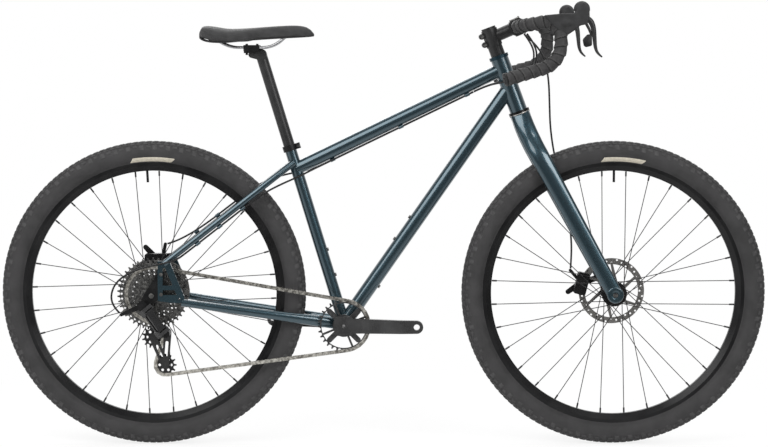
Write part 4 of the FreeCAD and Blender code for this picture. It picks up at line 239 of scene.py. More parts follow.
PAINT = paint()
BLACK = surface("black_anodised", (0.007, 0.007, 0.0075), (0.013, 0.013, 0.0135),
                rough=(0.32, 0.44), metal=0.35, mottle=45, grain=1500, Specular_IOR_Level=0.3)
SATIN = surface("black_satin", (0.020, 0.020, 0.0205), (0.030, 0.030, 0.0305), rough=(0.30, 0.42),
                metal=0.2, mottle=30, grain=1200, Coat_Weight=0.1, Coat_Roughness=0.3,
                Specular_IOR_Level=0.25)
RIM = surface("rim_black", (0.007, 0.007, 0.0075), (0.012, 0.012, 0.0125), rough=(0.28, 0.38),
              metal=0.3, mottle=20, grain=1600, Coat_Weight=0.1, Coat_Roughness=0.25,
              Specular_IOR_Level=0.25)
DARK_STEEL = surface("steel_dark", (0.06, 0.06, 0.061), (0.20, 0.198, 0.19), rough=(0.30, 0.42),
                     metal=0.85, mottle=120, grain=1500)
CHAIN = surface("chain_plate", (0.26, 0.246, 0.22), (0.74, 0.72, 0.66), rough=(0.20, 0.36),
                metal=1.0, mottle=150, grain=1800)
SPOKE = surface("spoke_black", (0.020, 0.020, 0.021), (0.034, 0.034, 0.035), rough=(0.30, 0.40),
                metal=0.6, mottle=40, grain=900)
RAIL = surface("rail_steel", (0.40, 0.40, 0.41), (0.52, 0.52, 0.53), rough=(0.24, 0.32),
               metal=1.0, mottle=30, grain=1200)
HOUSING = surface("cable_housing", (0.007, 0.007, 0.0075), (0.012, 0.012, 0.0125),
                  rough=(0.34, 0.42), mottle=40, grain=1400, Specular_IOR_Level=0.3)
PLASTIC = surface("moulded_black", (0.008, 0.008, 0.0085), (0.014, 0.014, 0.0145),
                  rough=(0.46, 0.58), mottle=40, grain=2200, Specular_IOR_Level=0.3)
TYRE = surface("tyre_rubber", (0.026, 0.0255, 0.026), (0.038, 0.037, 0.038), rough=(0.62, 0.78),
               mottle=26, grain=1600, depth=0.0002, strength=0.35, Specular_IOR_Level=0.3)
# The tread blocks are painted lighter than the casing: a painted highlight on the raised blocks.
TREAD_PAINTED_HIGHLIGHT = surface("tread_rubber_painted_highlight", (0.034, 0.0335, 0.034), (0.058, 0.057, 0.058), rough=(0.66, 0.80),
                mottle=70, grain=1300, depth=0.0002, strength=0.4, Specular_IOR_Level=0.3)
PATCH = surface("tyre_patch", (0.40, 0.37, 0.30), (0.50, 0.46, 0.38), rough=(0.55, 0.65),
                mottle=160, grain=1500)
FOAM = dict(mottle=90, grain=700, depth=0.0004, strength=0.4, cell=True)
TAPE = surface("bar_tape_foam", (0.024, 0.0235, 0.024), (0.040, 0.0393, 0.040), rough=(0.62, 0.76),
               Specular_IOR_Level=0.3, **FOAM)
# The tape is lighter on each lap's crest, which is a painted highlight, and darker in the crease
# between laps, which is painted shade.
TAPE_PAINTED_HIGHLIGHT = surface("bar_tape_painted_highlight", (0.034, 0.033, 0.033), (0.052, 0.051, 0.051),
                    rough=(0.60, 0.72), Specular_IOR_Level=0.3, **FOAM)
TAPE_PAINTED_SHADE = surface("bar_tape_painted_shade", (0.012, 0.012, 0.012), (0.019, 0.019, 0.019), rough=(0.70, 0.80),
                   Specular_IOR_Level=0.2, **FOAM)
HOOD = surface("hood_rubber", (0.017, 0.017, 0.0175), (0.026, 0.026, 0.027), rough=(0.56, 0.68),
               mottle=60, grain=1500, depth=0.0002, strength=0.3, cell=True, Specular_IOR_Level=0.3)
COVER = surface("saddle_cover", (0.026, 0.026, 0.0265), (0.040, 0.040, 0.0405), rough=(0.58, 0.70),
                mottle=50, grain=850, depth=0.0003, strength=0.35, cell=True,
                Specular_IOR_Level=0.3)
FRONT_ROTOR = rotor_steel("front_rotor_steel", FRONT_AXLE, edge=0.031)
REAR_ROTOR = rotor_steel("rear_rotor_steel", REAR_AXLE, edge=0.046)
CUPS = headset_cups()
CRANK_ARM = surface("crank_black", (0.032, 0.032, 0.0325), (0.048, 0.048, 0.0485),
                    rough=(0.24, 0.34), metal=0.3, mottle=24, grain=1500, Coat_Weight=0.2,
                    Coat_Roughness=0.2, Specular_IOR_Level=0.3)
RING = surface("chainring_grey", (0.05, 0.05, 0.052), (0.10, 0.10, 0.10), rough=(0.3, 0.42),
               metal=0.8, mottle=80, grain=1500)

FINISH = {
    PAINT: ["head_tube", "top_tube", "down_tube", "seat_tube", "bottom_bracket_shell", "chainstays",
            "seatstays", "dropouts", "cable_guides"],
    BLACK: ["axle_plates", "seat_collar", "saddle_clamp", "rear_hub",
            "front_caliper", "rear_caliper", "front_caliper_arm", "rear_caliper_arm",
            "derailleur_knuckle", "derailleur_outer_link", "derailleur_inner_link", "cage_knuckle"],
    SATIN: ["seatpost", "headset_spacers", "stem", "handlebar", "derailleur_cage"],
    RIM: ["front_rim", "rear_rim"],
    DARK_STEEL: ["cassette", "stem_bolts", "frame_bolts", "rear_axle", "front_axle"],
    CUPS: ["bearing_cups"],
    CHAIN: ["chain"],
    SPOKE: ["front_spokes", "rear_spokes"],
    RAIL: ["saddle_rails"],
    PLASTIC: ["saddle_base", "upper_jockey_wheel", "lower_jockey_wheel"],
    FRONT_ROTOR: ["front_rotor"],
    REAR_ROTOR: ["rear_rotor"],
    CRANK_ARM: ["right_crank_arm", "left_crank_arm"],
    RING: ["chainring"],
}
for finish, names in FINISH.items():
    for node in names:
        NODES[node].data.materials.clear()
        NODES[node].data.materials.append(finish)


# Mesh helpers

def put_in_scene(name, data):
    obj = bpy.data.objects.new(name, data)
    bpy.context.scene.collection.objects.link(obj)
    return obj


def mesh_object(name, verts, faces, mats, picks=None):
    """A mesh object from points and faces, with one material per face if given."""
    mesh = bpy.data.meshes.new(name)
    mesh.from_pydata([tuple(v) for v in verts], [], faces)
    for mat in mats:
        mesh.materials.append(mat)
    if picks is not None:
        mesh.polygons.foreach_set("material_index", picks)
    mesh.polygons.foreach_set("use_smooth", [True] * len(mesh.polygons))
    work = bmesh.new()
    work.from_mesh(mesh)
    bmesh.ops.recalc_face_normals(work, faces=work.faces)
    work.to_mesh(mesh)
    work.free()
    return put_in_scene(name, mesh)


def mark_sharp(obj, degrees):
    """Keeps hard edges hard where faces meet at a steep angle."""
    work = bmesh.new()
    work.from_mesh(obj.data)
    limit = math.radians(degrees)
    for edge in work.edges:
        if len(edge.link_faces) == 2 and edge.calc_face_angle(0) > limit:
            edge.smooth = False
    work.to_mesh(obj.data)
    work.free()


def grid_faces(rows, columns, close_rows=False, close_columns=False):
    faces = []
    for i in range(rows if close_rows else rows - 1):
        for j in range(columns if close_columns else columns - 1):
            a, b = i * columns, ((i + 1) % rows) * columns
            k = (j + 1) % columns
            faces.append((a + j, a + k, b + k, b + j))
    return faces


def tube_faces(rows, count):
    """Faces of a tube of rings, closed at both ends."""
    ends = [tuple(range(count)), tuple(range((rows - 1) * count, rows * count))]
    return grid_faces(rows, count, close_columns=True) + ends


def shifted(faces, base):
    """Faces for points that start at a later place in a list."""
    return [tuple(base + index for index in face) for face in faces]


def apply_all(obj):
    """Applies an object's modifiers to its mesh."""
    bpy.context.view_layer.update()
    graph = bpy.context.evaluated_depsgraph_get()
    mesh = bpy.data.meshes.new_from_object(obj.evaluated_get(graph))
    obj.modifiers.clear()
    obj.data = mesh
    mesh.polygons.foreach_set("use_smooth", [True] * len(mesh.polygons))
    return obj


def spline(name, points, radius=0.0):
    """A smooth curve with the route's points as its control points."""
    curve = bpy.data.curves.new(name, "CURVE")
    curve.dimensions = "3D"
    curve.bevel_depth = radius
    curve.bevel_resolution = 4
    curve.use_fill_caps = True
    line = curve.splines.new("NURBS")
    line.points.add(len(points) - 1)
    for spot, point in zip(points, line.points):
        point.co = (*spot, 1)
    line.order_u = 3
    line.use_endpoint_u = True
    line.resolution_u = 24
    return put_in_scene(name, curve)


def spline_points(points):
    """Points read from the smooth curve of a route."""
    obj = spline("route_line", points)
    bpy.context.view_layer.update()
    graph = bpy.context.evaluated_depsgraph_get()
    mesh = bpy.data.meshes.new_from_object(obj.evaluated_get(graph))
    found = [v.co.copy() for v in mesh.vertices]
    bpy.data.objects.remove(obj)
    bpy.data.meshes.remove(mesh)
    return found


def bent(points, share=0.45, steps=16):
    """Straight runs joined by tangent arcs, as the bar itself is bent."""
    line = [points[0]]
    for before, corner, after in zip(points, points[1:], points[2:]):
        back, ahead = before - corner, after - corner
        reach = share * min(back.length, ahead.length)
        back.normalize()
        ahead.normalize()
        half = back.angle(ahead) / 2
        centre = corner + (back + ahead).normalized() * (reach / math.cos(half))
        first, last = corner + back * reach - centre, corner + ahead * reach - centre
        for k in range(steps + 1):
            line.append(centre + first.slerp(last, k / steps).normalized() * first.length)
    return line + [points[-1]]


def along(points, step):
    """Even steps along a line of points, with the distance from its start."""
    spots, travelled, due = [(points[0].copy(), 0.0)], 0.0, step
    for first, second in zip(points, points[1:]):
        run = (second - first).length
        while run > 0 and due <= travelled + run:
            spots.append((first.lerp(second, (due - travelled) / run), due))
            due += step
        travelled += run
    return spots, travelled


def rings(spots, count, radius_at):
    """Rings of points about a line; radius_at takes a distance and an angle."""
    centres = [spot for spot, _ in spots]
    normal = None
    verts = []
    for i, (spot, distance) in enumerate(spots):
        heading = (centres[min(i + 1, len(centres) - 1)] - centres[max(i - 1, 0)]).normalized()
        if normal is None:
            normal = heading.orthogonal().normalized()
        normal = (normal - heading * normal.dot(heading)).normalized()
        side = heading.cross(normal)
        for j in range(count):
            angle = FULL_TURN * j / count
            reach = radius_at(distance, angle)
            verts.append(spot + normal * (reach * math.cos(angle))
                         + side * (reach * math.sin(angle)))
    return verts


# Tyres: a round casing with rows of blocks and a plain pale patch on each side

TYRE_MIDDLE = 0.340
CASING = 0.0267
CASING_AROUND, CASING_ACROSS, BEAD_TILT = 216, 61, 152
# Low ribs on the side wall: tilt and half width in degrees, height
RIBS = [(70, 3, 0.0006), (104, 2, 0.0005), (147, 4, 0.0009)]
# Rows of blocks: from and to a tilt in degrees, from and to a share of the pitch
BLOCK_ROWS = [(-9, 9, 0.05, 0.80), (13, 25, 0.42, 1.18), (29, 42, 0.05, 0.78), (46, 62, 0.45, 1.15)]
PITCHES = 138
SHOULDER, LONG_REACH = 45, 75
BLOCK_HEIGHT, BLOCK_LEAN = 0.0012, 0.08
# Levels of a block from foot to top: lift, and how far its sides draw in
BLOCK_LEVELS = [(-0.0004, 0.0), (0.72 * BLOCK_HEIGHT, 0.05), (BLOCK_HEIGHT, 0.16)]
BLOCK_FACES = grid_faces(3, 4, close_columns=True) + [(8, 9, 10, 11)]
PATCH_ROWS, PATCH_COLUMNS = 36, 7
PATCH_LENGTH, PATCH_SLANT, PATCH_TILT, PATCH_WIDTH = 18.2, 1.8, 111, 33
PATCH_SINK, PATCH_LIFT = -0.0004, 0.0007


def tyre_spot(axle, turn, tilt, lift=0.0):
    """A point on the casing: turn goes round the wheel, tilt round its section."""
    out = CASING + lift
    radius = TYRE_MIDDLE + out * math.cos(tilt)
    return axle + Vector((radius * math.sin(turn), out * math.sin(tilt), radius * math.cos(turn)))


def casing_lift(tilt):
    """Low ribs round the side wall."""
    side = abs(math.degrees(tilt))
    lift = 0.0
    for middle, half, height in RIBS:
        lift += height * max(0.0, 1 - abs(side - middle) / half)
    return lift


def tyre_block(axle, side, first, last, low, high, lean):
    """Points of one block, between two turns and two tilts."""
    points = []
    for lift, draw in BLOCK_LEVELS:
        for a, b in ((0, 0), (1, 0), (1, 1), (0, 1)):
            turn = (first, last)[a] + (draw - 2 * draw * a) * (last - first) + lean * b
            tilt = low + (high - low) * (b + draw - 2 * draw * b)
            points.append(tyre_spot(axle, turn, math.radians(side * tilt), lift))
    return points


def tyre_patch(name, axle, body, side, patch_turn):
    spots = []
    for i in range(PATCH_ROWS):
        for j in range(PATCH_COLUMNS):
            share = j / (PATCH_COLUMNS - 1)
            turn = math.radians(patch_turn + PATCH_LENGTH * i / (PATCH_ROWS - 1)
                                + PATCH_SLANT * (1 - share))
            tilt = math.radians(side * (PATCH_TILT + PATCH_WIDTH * share))
            edge = i in (0, PATCH_ROWS - 1) or j in (0, PATCH_COLUMNS - 1)
            spots.append(tyre_spot(axle, turn, tilt, PATCH_SINK if edge else PATCH_LIFT))
    label = mesh_object(name, spots, grid_faces(PATCH_ROWS, PATCH_COLUMNS), [PATCH])
    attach(label, body)


def tyre(name, node, axle, body, patch_turn):
    tilts = [math.radians(-BEAD_TILT + 2 * BEAD_TILT * j / (CASING_ACROSS - 1))
             for j in range(CASING_ACROSS)]
    verts = []
    for i in range(CASING_AROUND):
        turn = FULL_TURN * i / CASING_AROUND
        verts += [tyre_spot(axle, turn, tilt, casing_lift(tilt)) for tilt in tilts]
    faces = grid_faces(CASING_AROUND, CASING_ACROSS, close_rows=True)
    plain_faces = len(faces)
    pitch = FULL_TURN / PITCHES
    for k in range(PITCHES):
        for low, high, start, end in BLOCK_ROWS:
            if low > SHOULDER and k % 2:
                high = LONG_REACH
            lean = BLOCK_LEAN * pitch if low > 0 else 0.0
            for side in ((1,) if low < 0 else (1, -1)):
                shift = 0.5 * pitch if side < 0 else 0.0
                first, last = (k * pitch + shift + share * pitch for share in (start, end))
                faces += shifted(BLOCK_FACES, len(verts))
                verts += tyre_block(axle, side, first, last, low, high, lean)
    # The blocks take the lighter tread colour, which is a painted highlight.
    picks = [0] * plain_faces + [1] * (len(faces) - plain_faces)
    obj = mesh_object(name, verts, faces, [TYRE, TREAD_PAINTED_HIGHLIGHT], picks)
    mark_sharp(obj, 40)
    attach(obj, body)
    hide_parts(node)
    for side, word in ((-1, "right"), (1, "left")):
        tyre_patch(f"{name}_patch_{word}", axle, body, side, patch_turn)


tyre("front_tyre_tread", "front_tyre", FRONT_AXLE, "front_wheel", -6.4)
tyre("rear_tyre_tread", "rear_tyre", REAR_AXLE, "rear_wheel", -10.2)


# Saddle: a crowned pad with a shallow channel, a dropped nose and side skirts about its base

SADDLE_WIDTHS = [(0, 0.36), (0.05, 0.78), (0.17, 1), (0.36, 0.84), (0.55, 0.5), (0.75, 0.33),
                 (0.92, 0.26), (1, 0.14)]
SADDLE_TOP = [(0, 0.998), (0.03, 1.0095), (0.1, 1.0118), (0.17, 1.0092), (0.27, 1.0056),
              (0.42, 1.0068), (0.57, 1.01), (0.7, 1.0128), (0.84, 1.0138), (0.92, 1.0102),
              (0.965, 1.0035), (1, 0.9945)]
SADDLE_SKIRT = [(0, 0.9835), (0.08, 0.9795), (0.115, 0.9738), (0.19, 0.9727), (0.4, 0.9732),
                (0.47, 0.9766), (0.54, 0.981), (0.62, 0.9824), (0.75, 0.9847), (0.85, 0.9857),
                (1, 0.985)]
SADDLE_FOOT = [(0, 0.9875), (0.05, 0.978), (0.17, 0.974), (0.36, 0.978), (0.55, 0.982),
               (0.75, 0.9852), (0.92, 0.987), (1, 0.987)]
SADDLE_START, SADDLE_LENGTH, SADDLE_HALF = -0.4435, 0.2765, 0.071
SADDLE_STATIONS, SADDLE_COUNT = 92, 64
END_SHARE, END_BASE, END_GAIN = 0.03, 0.55, 0.45
CHANNEL_DEPTH, CHANNEL_HALF, CHANNEL_REACH = 0.0042, 0.008, 0.42
SEAM_DEPTH, SEAM_PLACE, SEAM_HALF = 0.0011, 0.62, 0.035
CROWN_DROP = 0.0030
SKIRT_INSET, SKIRT_EDGE, SKIRT_WIDTH = 0.08, 0.84, 0.1


def eased(rows, share):
    """A value from a table of the saddle, smoothed between its rows."""
    i = 0
    while i < len(rows) - 2 and share > rows[i + 1][0]:
        i += 1
    before, after = rows[max(i - 1, 0)], rows[min(i + 2, len(rows) - 1)]
    first, second = rows[i], rows[i + 1]
    gap = second[0] - first[0]
    t = (share - first[0]) / gap
    slope_a = gap * (second[1] - before[1]) / (second[0] - before[0])
    slope_b = gap * (after[1] - first[1]) / (after[0] - first[0])
    t2, t3 = t * t, t * t * t
    return ((2 * t3 - 3 * t2 + 1) * first[1] + (t3 - 2 * t2 + t) * slope_a
            + (3 * t2 - 2 * t3) * second[1] + (t3 - t2) * slope_b)


def bell(value, half):
    return math.exp(-((value / half) ** 2))


def saddle_section(share):
    """One ring of the pad, at a share of its length."""
    half = eased(SADDLE_WIDTHS, share) * SADDLE_HALF
    top, skirt, foot = (eased(rows, share) for rows in (SADDLE_TOP, SADDLE_SKIRT, SADDLE_FOOT))
    close = END_BASE + END_GAIN * math.sqrt(min(1.0, share / END_SHARE, (1 - share) / END_SHARE))
    channel = CHANNEL_DEPTH * max(0.0, 1 - ((share - 0.5) / CHANNEL_REACH) ** 2)
    middle = (top + skirt) / 2
    ring = []
    for j in range(SADDLE_COUNT):
        angle = FULL_TURN * j / SADDLE_COUNT
        c, s = math.cos(angle), math.sin(angle)
        if s > 0:
            y = half * math.copysign(abs(c) ** 0.75, c)
            z = middle + (top - middle) * s ** 0.62 * close
            z -= channel * bell(y, CHANNEL_HALF)
            z -= SEAM_DEPTH * bell(abs(y) / half - SEAM_PLACE, SEAM_HALF)
            z -= CROWN_DROP * (abs(y) / SADDLE_HALF) ** 2
        else:
            wide = math.sqrt(abs(c))
            y = half * math.copysign(wide, c) * (1 - SKIRT_INSET * abs(s) ** 0.5)
            inner = min(1.0, max(0.0, (SKIRT_EDGE - wide) / SKIRT_WIDTH))
            low = skirt + (max(foot, skirt) - skirt) * inner
            z = middle - (middle - low) * abs(s) ** 0.22 * close
        ring.append(Vector((SADDLE_START + share * SADDLE_LENGTH, y * close, z)))
    return ring


def saddle_pad():
    verts = []
    for i in range(SADDLE_STATIONS):
        verts += saddle_section(i / (SADDLE_STATIONS - 1))
    faces = tube_faces(SADDLE_STATIONS, SADDLE_COUNT)
    pad = mesh_object("saddle_cushion", verts, faces, [COVER])
    pad.modifiers.new("round", "SUBSURF").levels = 1
    apply_all(pad)
    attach(pad, "seat")
    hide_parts("saddle_pad")


saddle_pad()


# Bar tape wound round each half of the bar, with its end plug and finishing band

TAPE_ROUTE = [(0.32017, 0.062, 1.00992), (0.32017, 0.178, 1.00992), (0.40917, 0.212, 1.02592),
              (0.40917, 0.228, 0.92392), (0.28017, 0.265, 0.88692)]
TAPE_STEP, TAPE_COUNT = 0.0012, 44
TAPE_RADIUS, TAPE_RIDGE, TAPE_TUCK = 0.0142, 0.0023, 0.0014
TAPE_START, TAPE_END = 0.006, 0.004
WRAP = 0.021
# Shares of a turn: the rise of its lap and the rest, and where the painted highlight on the lap's
# crest and the painted shade in the crease between laps begin
LAP_RISE, LAP_FALL, HIGHLIGHT_FROM, SHADE_FROM = 0.86, 0.14, 0.74, 0.9
PLUG_PROFILE = [(0.0, 0.0125), (0.0002, 0.0156), (0.0014, 0.0162), (0.0028, 0.0154),
                (0.0037, 0.0118), (0.0039, 0.006), (0.0035, 0.0015)]
BAND_PROFILE = [(-0.006, 0.0128), (-0.0058, 0.0136), (0.004, 0.0150), (0.008, 0.0158),
                (0.0082, 0.0140)]
BAND_COUNT = 40


def profile_rings(centre, heading, profile):
    """Rings of a turned piece, from rows of a step along its heading and a radius."""
    radii = dict(profile)
    spots = [(centre + heading * step, step) for step, _ in profile]
    return rings(spots, BAND_COUNT, lambda distance, angle: radii[distance])


def bar_tape(side, word):
    line = bent([Vector((x, y * side, z)) for x, y, z in TAPE_ROUTE])
    spots, total = along(line, TAPE_STEP)

    def reach(distance, angle):
        turn = (distance / WRAP + side * angle / FULL_TURN) % 1.0
        ridge = turn / LAP_RISE if turn < LAP_RISE else (1 - turn) / LAP_FALL
        start = min(1.0, distance / TAPE_START)
        end = min(1.0, max(0.0, (total - distance) / TAPE_END))
        return TAPE_RADIUS + TAPE_RIDGE * ridge * start - TAPE_TUCK * (1 - end)

    verts = rings(spots, TAPE_COUNT, reach)
    faces = tube_faces(len(spots), TAPE_COUNT)
    picks = [0] * len(faces)
    # Faces near each lap's crest take the painted highlight, and faces in the crease take the
    # painted shade.
    for k in range((len(spots) - 1) * TAPE_COUNT):
        turn = (spots[k // TAPE_COUNT][1] / WRAP + side * (k % TAPE_COUNT) / TAPE_COUNT) % 1.0
        picks[k] = 2 if turn > SHADE_FROM else int(turn > HIGHLIGHT_FROM)
    tape = mesh_object(f"bar_tape_{word}", verts, faces, [TAPE, TAPE_PAINTED_HIGHLIGHT, TAPE_PAINTED_SHADE], picks)
    mark_sharp(tape, 60)
    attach(tape, "steering")
    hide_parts("bar_tape")

    verts = profile_rings(line[-1], (line[-1] - line[-2]).normalized(), PLUG_PROFILE)
    faces = tube_faces(len(PLUG_PROFILE), BAND_COUNT)
    plug = mesh_object(f"bar_plug_{word}", verts, faces, [PLASTIC])
    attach(plug, "steering")

    verts = profile_rings(line[0], Vector((0, side, 0)), BAND_PROFILE)
    faces = grid_faces(len(BAND_PROFILE), BAND_COUNT, close_columns=True)
    finish = mesh_object(f"tape_band_{word}", verts, faces, [TAPE])
    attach(finish, "steering")


bar_tape(1, "left")
bar_tape(-1, "right")


# Hoods: a soft body with a round horn, open below for its lever

HOOD_OUTLINE = [(0.3700, 1.0345), (0.4065, 1.0378), (0.4390, 1.0390), (0.4470, 1.0470),
                (0.4600, 1.0640), (0.4735, 1.0520), (0.4745, 1.0300), (0.4690, 1.0135),
                (0.4530, 1.0105), (0.4398, 0.9995), (0.4244, 0.9890), (0.4000, 1.0000),
                (0.3790, 1.0220)]
HOOD_MIDDLE, HOOD_HALF = 0.216, 0.0145
# Balls that fill out the horn and the grip: place in the side view, and half sizes
HOOD_BALLS = [((0.4570, 1.0485), (0.0192, 0.0152, 0.0188)),
              ((0.4200, 1.0160), (0.0300, 0.0165, 0.0190))]
HOOD_VOXEL, HOOD_SMOOTHING = 0.0014, 14
# The lever's slot, about its pivot
SLOT_LOW, SLOT_HIGH = (-0.021, -0.0075, -0.070), (0.060, 0.0075, 0.0135)


def hood_block(middle):
    """The hood's side outline with thickness, and its balls."""
    work = bmesh.new()
    corners = [work.verts.new((x, middle - HOOD_HALF, z)) for x, z in HOOD_OUTLINE]
    face = work.faces.new(corners)
    made = bmesh.ops.extrude_face_region(work, geom=[face])
    moved = [item for item in made["geom"] if isinstance(item, bmesh.types.BMVert)]
    bmesh.ops.translate(work, verts=moved, vec=(0, 2 * HOOD_HALF, 0))
    for (x, z), scale in HOOD_BALLS:
        ball = bmesh.ops.create_uvsphere(work, u_segments=32, v_segments=20, radius=1.0)
        fit = Matrix.Translation((x, middle, z)) @ Matrix.Diagonal((*scale, 1))
        bmesh.ops.transform(work, matrix=fit, verts=ball["verts"])
    bmesh.ops.recalc_face_normals(work, faces=work.faces)
    return work


def slot_block(middle):
    """The block that cuts the lever's slot."""
    low, high = (Vector((LEVER_PIVOT.x + x, middle + y, LEVER_PIVOT.z + z))
                 for x, y, z in (SLOT_LOW, SLOT_HIGH))
    work = bmesh.new()
    bmesh.ops.create_cube(work, size=1.0)
    fit = Matrix.Translation((low + high) / 2) @ Matrix.Diagonal((*(high - low), 1))
    bmesh.ops.transform(work, matrix=fit, verts=work.verts)
    return work


def from_work(name, work):
    """An object from a bmesh, which is then freed."""
    mesh = bpy.data.meshes.new(name)
    work.to_mesh(mesh)
    work.free()
    return put_in_scene(name, mesh)


def hood(side, word):
    middle = HOOD_MIDDLE * side
    obj = from_work(f"hood_{word}", hood_block(middle))
    skin = obj.modifiers.new("skin", "REMESH")
    skin.mode = "VOXEL"
    skin.voxel_size = HOOD_VOXEL
    soft = obj.modifiers.new("soft", "SMOOTH")
    soft.factor = 0.5
    soft.iterations = HOOD_SMOOTHING
    apply_all(obj)
    cutter = from_work("slot_tool", slot_block(middle))
    cut = obj.modifiers.new("slot", "BOOLEAN")
    cut.operation = "DIFFERENCE"
    cut.solver = "EXACT"
    cut.object = cutter
    apply_all(obj)
    bpy.data.objects.remove(cutter)
    mark_sharp(obj, 50)
    obj.data.materials.clear()
    obj.data.materials.append(HOOD)
    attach(obj, "steering")
    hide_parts("lever_hoods")


hood(1, "left")
hood(-1, "right")


# Levers: slim blades that hang from the hoods and hook forward at their tips

LEVER_LINE = [(0.4602, 1.0299), (0.4745, 1.0262), (0.4838, 1.0090), (0.4866, 0.9830),
              (0.4884, 0.9600), (0.4945, 0.9455), (0.5055, 0.9375)]
# Shares along the blade, with half its depth and half its width
LEVER_HALVES = [(0, 0.0072, 0.0060), (0.2, 0.0068, 0.0060), (0.42, 0.0056, 0.0060),
                (0.72, 0.0042, 0.0054), (0.88, 0.0030, 0.0046), (0.98, 0.0020, 0.0038),
                (1, 0.0012, 0.0026)]
LEVER_STEP, LEVER_COUNT = 0.0015, 28


def stepped(rows, share):
    """The depth and width from a table of rows that start with a share, read in straight runs."""
    for first, second in zip(rows, rows[1:]):
        if share <= second[0]:
            t = (share - first[0]) / (second[0] - first[0])
            return [a + (b - a) * t for a, b in zip(first[1:], second[1:])]
    return rows[-1][1:]


def heading_at(spots, i):
    before, after = spots[max(i - 1, 0)][0], spots[min(i + 1, len(spots) - 1)][0]
    return (after - before).normalized()


def oval_sweep(name, route, step, halves, count, mat):
    """A bar along a line in an upright plane, with an oval section that changes along it."""
    spots, total = along(spline_points(route), step)
    verts = []
    for i, (spot, distance) in enumerate(spots):
        heading = heading_at(spots, i)
        square = Vector((-heading.z, 0, heading.x))
        deep, wide = stepped(halves, distance / total)
        for j in range(count):
            angle = FULL_TURN * j / count
            verts.append(spot + square * (deep * math.cos(angle))
                         + Vector((0, wide * math.sin(angle), 0)))
    return mesh_object(name, verts, tube_faces(len(spots), count), [mat])


def lever(side, word):
    route = [(x, LEVER_PIVOT.y * side, z) for x, z in LEVER_LINE]
    blade = oval_sweep(f"{word}_lever_blade", route, LEVER_STEP, LEVER_HALVES, LEVER_COUNT, SATIN)
    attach(blade, f"{word}_lever")
    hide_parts(f"{word}_brake_lever")


lever(1, "left")
lever(-1, "right")


# Shift paddle: a round-cornered tab on an arm, right side only

PADDLE_OUTLINE = [(0.4700, 0.9905, 0.006), (0.4808, 0.9905, 0.003), (0.4812, 0.9640, 0.005),
                  (0.4625, 0.9595, 0.007), (0.4588, 0.9790, 0.008)]
PADDLE_ARM = [(0.4642, 1.0200), (0.4700, 1.0100), (0.4760, 0.9990), (0.4790, 0.9870)]
ARM_HALVES = [(0, 0.0036, 0.0034), (0.7, 0.0032, 0.0030), (1, 0.0020, 0.0020)]
ARM_STEP, ARM_COUNT = 0.0012, 20
TAB_HALF = 0.0022
# The tab's rim: how far each ring draws in, and its share of the half thickness
TAB_RIM = [(0.0012, -1), (0.0003, -0.7), (0, 0), (0.0003, 0.7), (0.0012, 1)]


def rounded(outline, steps=7):
    """The corners of an outline of (x, z, radius), each turned into a small arc."""
    points = []
    for i, (x, z, radius) in enumerate(outline):
        corner = Vector((x, 0, z))
        before = (Vector((outline[i - 1][0], 0, outline[i - 1][1])) - corner).normalized()
        following = outline[(i + 1) % len(outline)]
        after = (Vector((following[0], 0, following[1])) - corner).normalized()
        half = before.angle(after) / 2
        reach = radius / math.tan(half)
        centre = corner + (before + after).normalized() * (radius / math.sin(half))
        first, last = corner + before * reach - centre, corner + after * reach - centre
        for k in range(steps):
            points.append(centre + first.slerp(last, k / (steps - 1)).normalized() * radius)
    return points


def rounded_tab(name, outline, middle, mat):
    """A flat tab with round corners and a soft rim."""
    points = rounded(outline)
    centre = sum(points, Vector()) / len(points)
    verts = []
    for inset, share in TAB_RIM:
        for point in points:
            inward = (centre - point).normalized() * inset
            verts.append(point + inward + Vector((0, middle + share * TAB_HALF, 0)))
    return mesh_object(name, verts, tube_faces(len(TAB_RIM), len(points)), [mat])


def shift_paddle():
    tab = rounded_tab("shift_paddle_tab", PADDLE_OUTLINE, -LEVER_PIVOT.y, PLASTIC)
    mark_sharp(tab, 50)
    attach(tab, "paddle")
    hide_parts("shift_paddle")
    route = [(x, -LEVER_PIVOT.y, z) for x, z in PADDLE_ARM]
    arm = oval_sweep("shift_paddle_arm", route, ARM_STEP, ARM_HALVES, ARM_COUNT, SATIN)
    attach(arm, "paddle")


shift_paddle()


# Fork: oval blades that bend together into the crown, each with a round eye for the axle

# Places on the steering axis and out from it, then shares of the blade and out from the middle
CROWN_ROUTE = [(-0.001, 0.0085), (-0.014, 0.0150), (-0.038, 0.0250)]
BLADE_TOP = 0.0555
LEG_ROUTE = [(0.05, 0.0345), (0.115, 0.0435), (0.18, 0.0468), (0.3, 0.0486), (0.5, 0.0510),
             (0.75, 0.0541), (1.0, 0.0571)]
LEG_HALVES = [(0, 0.0235, 0.0150), (0.03, 0.0235, 0.0142), (0.075, 0.0235, 0.0125),
              (0.14, 0.0235, 0.0114), (0.55, 0.0210, 0.0102), (0.85, 0.0192, 0.0085),
              (1, 0.0185, 0.0066)]
LEG_POWER = 2 / 2.1
LEG_STEP, LEG_COUNT, EYE_COUNT, TURNED_COUNT = 0.004, 56, 48, 64
EYE_PROFILE = [(0.0062, 0.0500), (0.0170, 0.0500), (0.0190, 0.0506), (0.0200, 0.0524),
               (0.0200, 0.0618), (0.0190, 0.0636), (0.0170, 0.0642), (0.0095, 0.0642),
               (0.0088, 0.0638), (0.0062, 0.0638)]
STEERER_PROFILE = [(0.0, -0.030), (0.012, -0.030), (0.0225, -0.016), (0.0245, -0.008),
                   (0.0245, -0.0004), (0.0143, -0.0004), (0.0143, 0.2065), (0.0113, 0.2065),
                   (0.0113, 0.0), (0.0, 0.0)]


